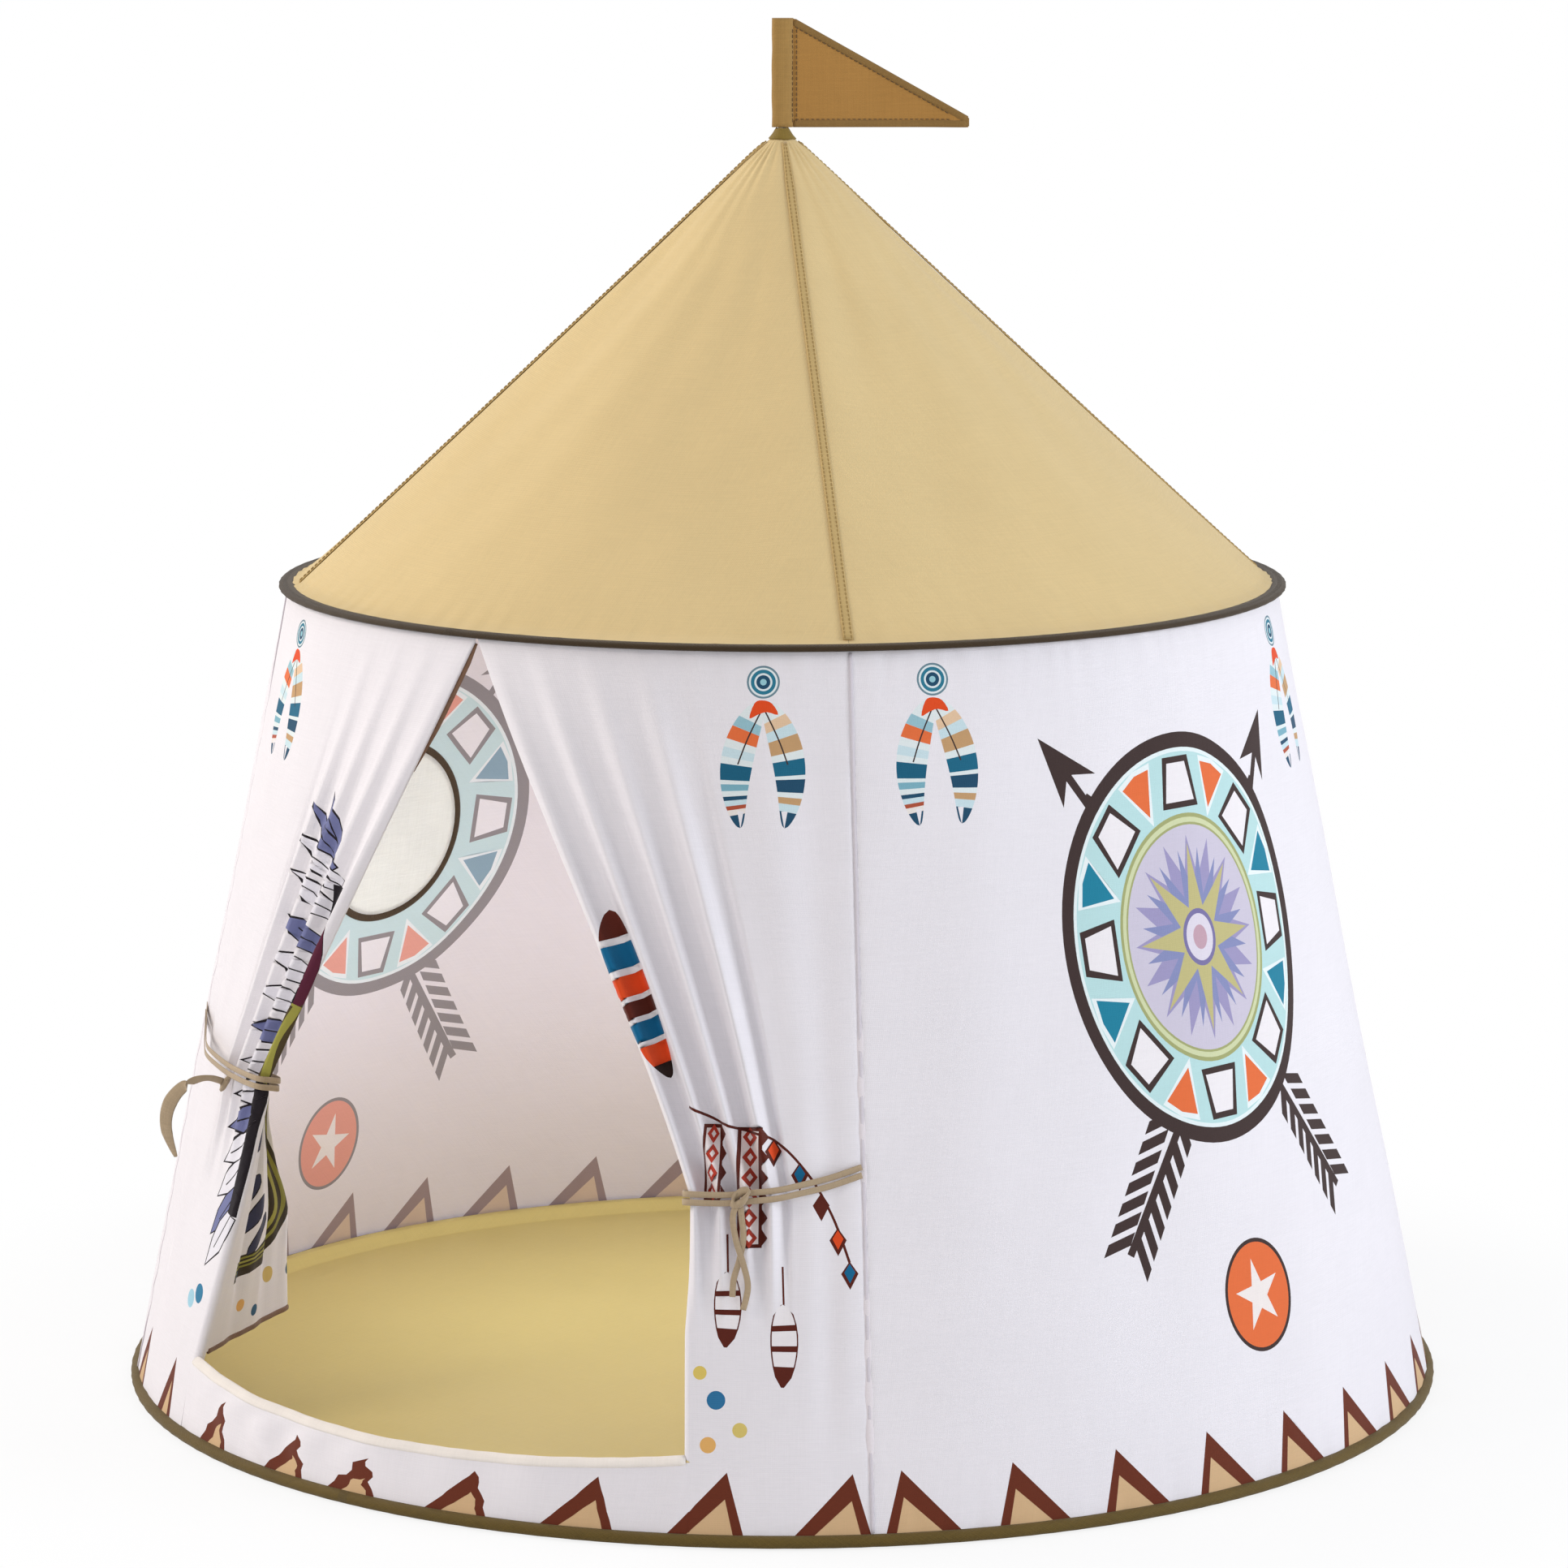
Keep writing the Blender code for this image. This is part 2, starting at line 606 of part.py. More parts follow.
# Door: two gathered halves, their loose tails, the sill and the ties
DOOR_HALVES = (
    {"name": "left", "side": -1, "slit": 2.3, "tie": -20.1, "sill": -25.4, "tie_height": LEFT_TIE_HEIGHT,
     "bow_share": 0.0, "flat_share": 0.6, "turned_in": 130, "tail_width": LEFT_TAIL_WIDTH},
    {"name": "right", "side": 1, "slit": 2.8, "tie": 29.7, "sill": 30.3, "tie_height": RIGHT_TIE_HEIGHT,
     "bow_share": 0.4, "flat_share": 0.42, "turned_in": 125, "tail_width": RIGHT_TAIL_WIDTH},
)
HEAD_ROW_COUNT = 8
TAIL_ROW_COUNT = 4
SILL_ROW_COUNT = 2
SILL_STEPS = 7
FLAT_COLUMN_COUNT = 3
FOLD_COLUMN_COUNT = 4
FADE_POWER = 2


def hinge_ends(half):
    """The lowest and highest points of the fold line on which a tail hangs."""
    foot_point = wall_point(half["sill"], SILL_HEIGHT)
    head_point = wall_point(half["tie"], half["tie_height"])
    return foot_point, head_point


def hinge_at(half, height):
    """The point of a tail's fold line at a height."""
    low, high = hinge_ends(half)
    return low.lerp(high, (height - low.z) / (high.z - low.z))


def edge_heading(half, height):
    """Heading of the free edge of a door half, or of its fold line below the tie."""
    if height >= half["tie_height"]:
        share = (WALL_HEAD - height) / (WALL_HEAD - half["tie_height"])
        bowed = math.sin(share * math.pi / 2)
        share += (bowed - share) * half["bow_share"]
        return half["slit"] + (half["tie"] - half["slit"]) * share
    if height > SILL_HEIGHT:
        heading, gap = heading_of(hinge_at(half, height)), HINGE_GAP
    else:
        heading, gap = half["sill"], GAP
    return heading + half["side"] * math.degrees(gap / wall_radius(height))


def fold_out(half, share, height):
    """How far the folds stand out of the wall, at a share of the way from the seam to the edge."""
    across = max(0.0, (share - half["flat_share"]) / (1 - half["flat_share"]))
    if height >= half["tie_height"]:
        grown = (WALL_HEAD - height) / (WALL_HEAD - half["tie_height"])
    else:
        grown = max(0.0, 1 - (half["tie_height"] - height) / FOLD_FADE) ** FADE_POWER
    return -FOLD_DEPTH * grown * math.sin(2 * math.pi * FOLD_COUNT * across)


def row_heights(half):
    """Heights of the rows of cloth, from the eave down to the base."""
    stops = [
        (WALL_HEAD, half["tie_height"], HEAD_ROW_COUNT),
        (half["tie_height"], SILL_HEIGHT, TAIL_ROW_COUNT),
        (SILL_HEIGHT, WALL_FOOT, SILL_ROW_COUNT),
    ]
    heights = [high + (low - high) * row / rows for high, low, rows in stops for row in range(rows)]
    return heights + [WALL_FOOT]


def column_shares(half):
    """Shares of the way from the seam to the free edge at which the cloth has its columns."""
    flat = [half["flat_share"] * column / FLAT_COLUMN_COUNT for column in range(FLAT_COLUMN_COUNT)]
    columns = FOLD_COUNT * FOLD_COLUMN_COUNT
    gathered = 1 - half["flat_share"]
    folded = [half["flat_share"] + gathered * column / columns for column in range(columns + 1)]
    return flat + folded


def cloth(name, rows, columns, place, finish):
    """A grid of cloth whose points are placed by row and column, with the cloth's thickness."""
    mesh = bpy.data.meshes.new(name)
    grid = bmesh.new()
    bmesh.ops.create_grid(grid, x_segments=columns, y_segments=rows, size=1)
    for vertex in grid.verts:
        column = round((vertex.co.x + 1) / 2 * columns)
        row = round((1 - vertex.co.y) / 2 * rows)
        vertex.co = place(row, column)
    grid.to_mesh(mesh)
    grid.free()
    mesh.shade_smooth()
    return solidify(add(name, mesh, finish), CLOTH, 0)


def door_half(half):
    """One half of the front panel, from its seam to the slit, drawn back in folds to its tie."""
    heights = row_heights(half)
    shares = column_shares(half)
    seam = half["side"] * (SEAM_HEADING - SEAM_GAP_ANGLE)

    def place(row, column):
        height = heights[row]
        share = shares[column] if half["side"] < 0 else shares[len(shares) - 1 - column]
        edge = edge_heading(half, height)
        point = wall_point(seam + (edge - seam) * share, height, fold_out(half, share, height))
        if SILL_HEIGHT < height < half["tie_height"]:
            hinge = hinge_at(half, height)
            point += (hinge - wall_point(heading_of(hinge), height)) * share
        return point

    return cloth(half["name"] + "_door_panel", len(heights) - 1, len(shares) - 1, place, WALL_CLOTH)


def door_tail(half):
    """The loose cloth of a door half below its tie, turned into the tent on its fold line."""
    side = half["side"]
    low, _ = hinge_ends(half)
    hem = SILL_HEIGHT + TAIL_LIFT
    top = half["tie_height"] - TAIL_DROP
    turn = math.radians(half["sill"] - side * half["turned_in"])
    inward = Vector((-side * math.cos(turn), -side * math.sin(turn), 0))
    corner = hinge_at(half, hem) + inward * half["tail_width"]
    free_top = min(TAIL_FREE_TOP, top)
    columns = TAIL_FOLD_COUNT * FOLD_COLUMN_COUNT

    def place(row, column):
        share = column / columns if side < 0 else 1 - column / columns
        down = row / TAIL_ROW_COUNT
        hinge = hinge_at(half, top + (hem - top) * down)
        free = Vector((corner.x, corner.y, free_top + (hem - free_top) * down))
        across = free - hinge
        start = HINGE_GAP / across.length
        flat = hinge + across * (start + (1 - start) * share)
        out = across.cross(Vector((0, 0, 1))).normalized()
        return flat + out * (TAIL_FOLD_DEPTH * share * math.sin(2 * math.pi * TAIL_FOLD_COUNT * share)) - low

    made = cloth(half["name"] + "_door_tail", TAIL_ROW_COUNT, columns, place, WALL_CLOTH)
    made.location = low


def tie(half):
    """A ribbon from the seam round the gathered cloth and back inside."""
    side = half["side"]
    height = half["tie_height"]
    seam = side * SEAM_HEADING
    touch = CLOTH / 2 + GAP + TIE_RADIUS
    full = FOLD_DEPTH + CLOTH / 2 + TIE_RADIUS + TIE_SLACK
    past_share = 1 + math.degrees(full / 2 / wall_radius(height)) / abs(half["tie"] - seam)
    way_shares = (0.05, 0.22, 0.4, 0.7, 1.0, past_share, 1.0, 0.7, 0.4)
    rise_shares = (1, 0.5, 0.25, 0, 0, 0, 0, 0, 0)
    outs = (touch, (touch + full) / 2, full, full, full, 0, -full, -full, -full)
    keys = []
    for way_share, rise_share, out in zip(way_shares, rise_shares, outs):
        heading = seam + (half["tie"] - seam) * way_share
        keys.append(wall_point(heading, height + TIE_RISE * rise_share, out))
    baked(wire(half["name"] + "_tie", smooth_path(keys, TIE_STEPS), TIE_RADIUS, TIE_RIBBON, 1))


def door_sill():
    """The strip of wall below the door, between the two door halves."""
    left, right = DOOR_HALVES
    profile = [(wall_radius(SILL_HEIGHT), SILL_HEIGHT), (wall_radius(WALL_FOOT), WALL_FOOT)]
    sector("door_sill", left["sill"], right["sill"], SILL_STEPS, profile, WALL_CLOTH)


for half in DOOR_HALVES:
    door_half(half)
    door_tail(half)
    tie(half)
door_sill()
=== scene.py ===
import math

import bpy
import numpy as np
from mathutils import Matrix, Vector
from mathutils.geometry import delaunay_2d_cdt


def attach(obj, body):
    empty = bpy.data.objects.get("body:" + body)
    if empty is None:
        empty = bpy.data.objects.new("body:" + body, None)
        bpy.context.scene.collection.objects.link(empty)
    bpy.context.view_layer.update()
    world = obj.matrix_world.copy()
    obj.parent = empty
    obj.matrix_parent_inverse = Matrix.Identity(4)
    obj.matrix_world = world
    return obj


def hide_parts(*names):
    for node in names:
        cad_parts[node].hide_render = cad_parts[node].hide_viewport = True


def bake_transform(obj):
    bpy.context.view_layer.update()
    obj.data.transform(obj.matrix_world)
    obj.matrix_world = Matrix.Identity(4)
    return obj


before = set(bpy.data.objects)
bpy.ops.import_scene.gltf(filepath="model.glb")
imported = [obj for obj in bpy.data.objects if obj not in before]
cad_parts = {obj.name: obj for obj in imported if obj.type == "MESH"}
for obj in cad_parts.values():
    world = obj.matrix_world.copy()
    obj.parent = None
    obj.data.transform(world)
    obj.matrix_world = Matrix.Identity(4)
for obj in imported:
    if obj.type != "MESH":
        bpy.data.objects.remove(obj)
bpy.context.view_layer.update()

# Photographer's camera: a long lens from the right of the door, a little above the tent's tip.
# It looks 9.5 degrees down, which keeps the roof and the floor both in view.
CAMERA_TURN = math.radians(37.8)
CAMERA_AWAY = 4.8369
CAMERA_HEIGHT = 1.3263
CAMERA_DOWN = 0.1650
camera = bpy.data.objects.new("camera", bpy.data.cameras.new("camera"))
camera.data.lens = 127.73
camera.data.sensor_width = 36
camera.data.shift_x = 0.001
camera.location = (CAMERA_AWAY * math.sin(CAMERA_TURN), -CAMERA_AWAY * math.cos(CAMERA_TURN), CAMERA_HEIGHT)
camera.rotation_euler = (math.pi / 2 - CAMERA_DOWN, 0, CAMERA_TURN)
bpy.context.scene.collection.objects.link(camera)
bpy.context.scene.camera = camera
bpy.context.scene.view_settings.view_transform = "Standard"


# Studio: a white sweep under soft boxes, as for a catalogue picture.
# The sweep reads as plain white and keeps only the tent's own soft shadow.
def linear(colour):
    """A colour written as sRGB hex, as the linear colour that the renderer works in."""
    parts = [int(colour[i:i + 2], 16) / 255 for i in (1, 3, 5)]
    return [c / 12.92 if c <= 0.04045 else ((c + 0.055) / 1.055) ** 2.4 for c in parts] + [1.0]


def add(tree, kind, sockets=(), **settings):
    """Adds a node with its settings, and sets or links its inputs."""
    made = tree.nodes.new("ShaderNode" + kind)
    for name, value in settings.items():
        setattr(made, name, value)
    for name, value in dict(sockets).items():
        if isinstance(value, bpy.types.NodeSocket):
            tree.links.new(value, made.inputs[name])
        else:
            made.inputs[name].default_value = value
    return made


def blank(name):
    """A new material with no nodes in it yet."""
    made = bpy.data.materials.new(name)
    made.use_nodes = True
    made.node_tree.nodes.clear()
    return made


def seen_directly(tree):
    """1 for what the camera sees, straight on, in a mirror or through glass."""
    path = add(tree, "LightPath").outputs
    both = add(tree, "Math", {0: path["Is Camera Ray"], 1: path["Is Glossy Ray"]}, operation="MAXIMUM")
    every = add(tree, "Math", {0: both.outputs[0], 1: path["Is Transmission Ray"]}, operation="MAXIMUM")
    return every.outputs[0]


SHADOW_KEPT = 0.16
SHADOW_NEAR = 0.60
SHADOW_FAR = 0.98
SWEEP_HALF = 7
SWEEP_DROP = 0.0004
sweep = blank("white studio sweep")
tree = sweep.node_tree
lit = add(tree, "BsdfDiffuse", {"Color": linear("#F2F2F2")}).outputs[0]
glow = add(tree, "Emission", {"Color": linear("#FFFFFF"), "Strength": 1.0}).outputs[0]
away = add(tree, "VectorMath", {0: add(tree, "TexCoord").outputs["Object"]}, operation="LENGTH").outputs["Value"]
kept = add(tree, "MapRange", {"Value": away, "From Min": SHADOW_NEAR, "From Max": SHADOW_FAR,
                              "To Min": 1 - SHADOW_KEPT, "To Max": 1.0},
           interpolation_type="SMOOTHSTEP").outputs[0]
share = add(tree, "Math", {0: seen_directly(tree), 1: kept}, operation="MULTIPLY").outputs[0]
look = add(tree, "MixShader", {0: share, 1: lit, 2: glow}).outputs[0]
add(tree, "OutputMaterial", {"Surface": look})
mesh = bpy.data.meshes.new("studio_sweep")
corners = ((-1, -1), (1, -1), (1, 1), (-1, 1))
mesh.from_pydata([(x * SWEEP_HALF, y * SWEEP_HALF, -SWEEP_DROP) for x, y in corners], [], [(0, 1, 2, 3)])
mesh.materials.append(sweep)
studio_floor = bpy.data.objects.new("studio_sweep", mesh)
bpy.context.scene.collection.objects.link(studio_floor)

WORLD_STRENGTH = 0.62
world = bpy.data.worlds.new("studio")
bpy.context.scene.world = world
world.use_nodes = True
tree = world.node_tree
tree.nodes.clear()
around = add(tree, "Background", {"Color": linear("#F5F6FA"), "Strength": WORLD_STRENGTH}).outputs[0]
white = add(tree, "Background", {"Color": linear("#FFFFFF"), "Strength": 1.0}).outputs[0]
look = add(tree, "MixShader", {0: seen_directly(tree), 1: around, 2: white}).outputs[0]
add(tree, "OutputWorld", {"Surface": look})


def soft_box(name, place, target, size, watts, colour):
    """A square soft box aimed at a point."""
    light = bpy.data.lights.new(name, "AREA")
    light.shape = "SQUARE"
    light.size = size
    light.energy = watts
    light.color = linear(colour)[:3]
    box = bpy.data.objects.new(name, light)
    box.location = place
    box.rotation_euler = (Vector(target) - Vector(place)).to_track_quat("-Z", "Y").to_euler()
    box.visible_camera = False
    bpy.context.scene.collection.objects.link(box)


soft_box("key_box", (-1.2, -3.6, 2.6), (0, 0, 0.55), 1.6, 43, "#FFF3E8")
soft_box("right_box", (3.6, 1.2, 1.6), (0, 0, 0.5), 1.4, 72, "#F4F8FF")
soft_box("left_box", (-3.4, -1.6, 2.1), (0, 0, 0.6), 1.4, 60, "#FFF8F0")
# Daylight comes through thin cloth all round, so the inside of a tent is bright and even.
DAYLIGHT = "#E6ECFF"
LAMP_HEIGHT = 0.27
soft_box("light_through_roof", (0, 0, 0.69), (0, 0, 0), 0.5, 1.55, DAYLIGHT)
for side, along, watts in ((-0.26, -0.06, 1.35), (-0.18, 0.22, 0.86), (0.10, 0.16, 0.72)):
    inside = bpy.data.lights.new("light_through_walls", "POINT")
    inside.energy = watts
    inside.shadow_soft_size = 0.12
    inside.color = linear(DAYLIGHT)[:3]
    inside_lamp = bpy.data.objects.new("light_through_walls", inside)
    inside_lamp.location = (side, along, LAMP_HEIGHT)
    inside_lamp.visible_camera = False
    bpy.context.scene.collection.objects.link(inside_lamp)

# Floor sheet: a round of coated woven cloth, the colour of straw, sewn into the base tape.
# It lies on the ground with low ripples, from being twisted up, and its edge covers the base tape inside.
CLOTH_THICKNESS = 0.0006
# The real threads are about 0.4 mm apart, and are drawn four times as coarse so that they show.
COTTON_THREAD = 0.0016
# A wave texture's band repeats each 0.314 of its scaled length.
WAVE_BAND = 0.31416
FLOOR_RADIUS = 0.5695
FLOOR_LEVEL = 0.0008
FLOOR_RIPPLE = 0.0016
FLOOR_EDGE = 0.0195
FLOOR_RISE = 0.0106
FLOOR_RINGS = 56
FLOOR_EDGE_RINGS = 12
FLOOR_STEPS = 144


def woven(name, colour=None, thread=COTTON_THREAD, slub=0.06, roughness=0.85, sheen=0.15, through=0.12,
          diagonal=0.0, relief=0.00012):
    """Woven cloth or tape: threads both ways, uneven ones among them, and some light let through.

    Its colour is the dye on the mesh where none is given. The thread spacing is in metres.
    """
    made = blank(name)
    tree = made.node_tree
    weave = add(tree, "Attribute", attribute_name="weave").outputs["Vector"]
    turned = add(tree, "VectorRotate", {"Vector": weave, "Angle": diagonal}, rotation_type="Z_AXIS").outputs[0]
    waves = [add(tree, "TexWave", {"Vector": turned, "Scale": WAVE_BAND / thread, "Distortion": 0.6,
                                   "Detail": 1.0, "Detail Scale": 0.4}, bands_direction=way).outputs["Fac"]
             for way in ("X", "Y")]
    crossed = add(tree, "Math", {0: waves[0], 1: waves[1]}, operation="MULTIPLY").outputs[0]
    slubs = []
    for stretch in ((30, 620, 30), (620, 30, 30)):
        drawn = add(tree, "VectorMath", {0: turned, 1: stretch}, operation="MULTIPLY").outputs[0]
        slubs.append(add(tree, "TexNoise", {"Vector": drawn, "Scale": 1.0, "Detail": 2.0}).outputs["Fac"])
    uneven = add(tree, "Math", {0: slubs[0], 1: slubs[1]}, operation="ADD").outputs[0]
    shade = add(tree, "MapRange", {"Value": uneven, "From Min": 0.6, "From Max": 1.4,
                                   "To Min": 1 - slub, "To Max": 1.0}).outputs[0]
    broad = add(tree, "TexNoise", {"Vector": weave, "Scale": 9.0, "Detail": 2.0}).outputs["Fac"]
    patch = add(tree, "MapRange", {"Value": broad, "From Min": 0.3, "From Max": 0.7,
                                   "To Min": 1 - slub / 2, "To Max": 1.0}).outputs[0]
    tone = add(tree, "Math", {0: shade, 1: patch}, operation="MULTIPLY").outputs[0]
    if colour is None:
        dye = add(tree, "Attribute", attribute_name="dye").outputs["Color"]
    else:
        dye = add(tree, "RGB").outputs[0]
        dye.default_value = linear(colour)
    cloth = add(tree, "Mix", {0: 1.0, 6: dye, 7: tone}, data_type="RGBA", blend_type="MULTIPLY").outputs[2]
    height = add(tree, "Math", {0: crossed, 1: uneven}, operation="ADD").outputs[0]
    bump = add(tree, "Bump", {"Height": height, "Strength": 0.6, "Distance": relief}).outputs[0]
    face = add(tree, "BsdfPrincipled", {"Base Color": cloth, "Roughness": roughness, "Sheen Weight": sheen,
                                        "Sheen Roughness": 0.5, "Specular IOR Level": 0.25, "Normal": bump})
    behind = add(tree, "BsdfTranslucent", {"Color": cloth, "Normal": bump})
    look = add(tree, "MixShader", {0: through, 1: face.outputs[0], 2: behind.outputs[0]}).outputs[0]
    add(tree, "OutputMaterial", {"Surface": look})
    return made


def piece(name, points, faces, material, weave=None, normals=None, dyes=None):
    """A mesh from points and faces, with its weave lengths, shading directions and dyes."""
    mesh = bpy.data.meshes.new(name)
    mesh.from_pydata(np.asarray(points, float).tolist(), [], faces)
    mesh.shade_smooth()
    if weave is not None:
        lengths = mesh.attributes.new("weave", "FLOAT_VECTOR", "POINT")
        lengths.data.foreach_set("vector", np.asarray(weave, np.float32).ravel())
    if dyes is not None:
        sides = np.array([len(f) for f in faces])
        colours = np.repeat(np.asarray(dyes, np.float32), sides, axis=0)
        colours = np.concatenate([colours, np.ones((len(colours), 1), np.float32)], axis=1)
        mesh.attributes.new("dye", "FLOAT_COLOR", "CORNER").data.foreach_set("color", colours.ravel())
    if normals is not None:
        mesh.normals_split_custom_set(normals)
    mesh.materials.append(material)
    made = bpy.data.objects.new(name, mesh)
    bpy.context.scene.collection.objects.link(made)
    return made


def fit(made, node=None, body="tent"):
    """Sets a piece on its body, in place of the solid that it stands for."""
    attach(made, body)
    if node:
        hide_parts(node)
    return made


def cloth(name, flat, faces, place, material, lengths, outer=None, inner=None):
    """Cloth with two faces and a rim. `place` sets points of the flat cut on their surface."""
    thickness = CLOTH_THICKNESS
    flat = np.asarray(flat, float)
    count = len(flat)
    step = 0.0004
    middle = place(flat)
    along = place(flat + (step, 0)) - place(flat - (step, 0))
    up = place(flat + (0, step)) - place(flat - (0, step))
    out = np.cross(along, up)
    out /= np.maximum(np.linalg.norm(out, axis=1, keepdims=True), 1e-12)
    points = np.concatenate([middle + out * thickness / 2, middle - out * thickness / 2])
    edges = {}
    for face in faces:
        for a, b in zip(face, face[1:] + face[:1]):
            edges[(a, b)] = True
    rim = [(b, a, a + count, b + count) for a, b in edges if (b, a) not in edges]
    backs = [tuple(i + count for i in reversed(face)) for face in faces]
    shading = [out[i] for face in faces for i in face] + [-out[i - count] for face in backs for i in face]
    shading += [(0, 0, 0)] * (4 * len(rim))
    woven_at = np.asarray(lengths(flat), float)
    weave = np.concatenate([np.c_[woven_at, np.zeros(count)], np.c_[woven_at, np.full(count, thickness)]])
    dyes = None
    if outer is not None:
        dyes = np.concatenate([outer, inner, np.tile(outer[:1], (len(rim), 1))])
    return piece(name, points, faces + backs + rim, material, weave, shading, dyes)


def grid(columns, rows, wraps=False):
    """Faces of a grid of columns + 1 by rows + 1 points, or of one that closes on itself."""
    wide = columns if wraps else columns + 1
    return [(r * wide + c, r * wide + (c + 1) % wide, (r + 1) * wide + (c + 1) % wide, (r + 1) * wide + c)
            for r in range(rows) for c in range(columns)]


def smooth(value):
    """A soft step from 0 to 1."""
    value = np.clip(value, 0, 1)
    return value * value * (3 - 2 * value)


# The coating fills the weave, so the cloth is even and has a faint gloss.
straw_cloth = woven("coated polyester, plain weave, straw", "#D2BE74", slub=0.05, roughness=0.6, sheen=0.05,
                    through=0.0)


def ripple(x, y):
    """Low ripples that a sheet keeps from being folded."""
    return (np.sin(11 * x + 3 * y + 0.4) * np.sin(7 * y - 4 * x + 1.1) + 0.4 * np.sin(23 * x - 17 * y)) / 1.4


def floor_place(flat):
    """Points of the floor from their distance to its middle and their length round it."""
    away, turn = flat[:, 0], flat[:, 1] / FLOOR_RADIUS
    x, y = away * np.sin(turn), -away * np.cos(turn)
    lift = FLOOR_RIPPLE * np.clip((FLOOR_RADIUS - away) / 0.06, 0, 1) * (1 + ripple(x, y))
    lift += FLOOR_RISE * smooth((away - (FLOOR_RADIUS - FLOOR_EDGE)) / 0.0125)
    return np.stack([x, y, FLOOR_LEVEL + lift], axis=1)


radii = np.concatenate([np.linspace(0.004, FLOOR_RADIUS - 0.024, FLOOR_RINGS + 1 - FLOOR_EDGE_RINGS),
                        np.linspace(FLOOR_RADIUS - 0.021, FLOOR_RADIUS, FLOOR_EDGE_RINGS)])
turns = np.linspace(0, 2 * math.pi, FLOOR_STEPS, endpoint=False) * FLOOR_RADIUS
faces = [face[::-1] for face in grid(FLOOR_STEPS, FLOOR_RINGS, wraps=True)]
faces.append(tuple(range(FLOOR_STEPS)))
flat = np.array([(r, t) for r in radii for t in turns])
floor_sheet = cloth("floor_cloth", flat, faces, floor_place, straw_cloth, lambda flat: floor_place(flat)[:, :2])
fit(floor_sheet, "floor_sheet")

# Base tape: an olive-brown twill tape folded round the base hoop and sewn to wall and floor.
# The hoop in it holds the tent round, and the tape puckers a little along the stitches.
BASE_RADIUS = 0.580
BASE_TAPE_HEIGHT = 0.0108
BASE_TAPE_DEPTH = 0.022
BASE_TAPE_STEPS = 360
UP = (0, 0, 1.0)
# Twill ribs are about 0.5 mm apart, and are drawn four times as coarse so that they show.
TWILL_THREAD = 0.0020


def swept(name, path, across, wide, thick, material, closed=False, sides=12, pucker=0.0, pitch=0.012, square=0.75):
    """A band swept along a path: `wide` runs along `across`, and `thick` at right angles to it.

    The band puckers at a pitch along it, and a lower `square` makes its section more like a rectangle.
    """
    path = np.asarray(path, float)
    across = np.asarray(across, float)
    if closed:
        way = np.roll(path, -1, axis=0) - np.roll(path, 1, axis=0)
    else:
        way = np.gradient(path, axis=0)
    way /= np.linalg.norm(way, axis=1, keepdims=True)
    across = across - way * np.sum(across * way, axis=1, keepdims=True)
    across /= np.linalg.norm(across, axis=1, keepdims=True)
    out = np.cross(across, way)
    steps = np.linalg.norm(np.diff(path, axis=0), axis=1)
    distance = np.concatenate([[0], np.cumsum(steps)])
    turn = np.linspace(0, 2 * math.pi, sides, endpoint=False)
    u, v = (np.sign(value) * np.abs(value) ** square for value in (np.cos(turn), np.sin(turn)))
    wide, thick = np.broadcast_to(wide, len(path)), np.broadcast_to(thick, len(path))
    puckered = 1 + pucker * np.sin(distance * 2 * math.pi / pitch + 1.3 * np.sin(distance * 37))
    rings = (path[:, None] + across[:, None] * (u[None, :, None] * wide[:, None, None] / 2)
             + out[:, None] * (v[None, :, None] * (thick * puckered)[:, None, None] / 2))
    points = rings.reshape(-1, 3)
    count = len(path)
    last = (count - 1) * sides
    faces = grid(sides, count - 1, wraps=True)
    if closed:
        faces += [(last + c, last + (c + 1) % sides, (c + 1) % sides, c) for c in range(sides)]
    else:
        faces += [tuple(range(sides))[::-1], tuple(last + c for c in range(sides))]
    girth = float(np.mean(wide) + np.mean(thick)) * 2
    weave = np.stack([np.repeat(distance, sides), np.tile(turn / (2 * math.pi) * girth, count),
                      np.zeros(count * sides)], axis=1)
    return piece(name, points, [f[::-1] for f in faces], material, weave)


def circle(radius, height, steps):
    """Points round the tent's middle."""
    turn = np.linspace(0, 2 * math.pi, steps, endpoint=False)
    return np.stack([radius * np.sin(turn), -radius * np.cos(turn), np.full(steps, height)], axis=1)


def twill(name, colour, slub=0.25, roughness=0.7, sheen=0.1, relief=0.0003):
    """Twill tape: slanting ribs that catch the light, in yarn that took the dye unevenly."""
    return woven(name, colour, thread=TWILL_THREAD, slub=slub, roughness=roughness, diagonal=0.8, relief=relief,
                 through=0.0, sheen=sheen)


olive_tape = twill("polyester twill tape, olive brown", "#66521E")
ring = circle(BASE_RADIUS - BASE_TAPE_DEPTH / 2, BASE_TAPE_HEIGHT / 2, BASE_TAPE_STEPS)
base_tape = swept("base_tape_round", ring, np.tile(UP, (BASE_TAPE_STEPS, 1)), BASE_TAPE_HEIGHT, BASE_TAPE_DEPTH,
                  olive_tape, closed=True, sides=16, pucker=0.03, pitch=0.016, square=0.7)
fit(base_tape, "base_binding")

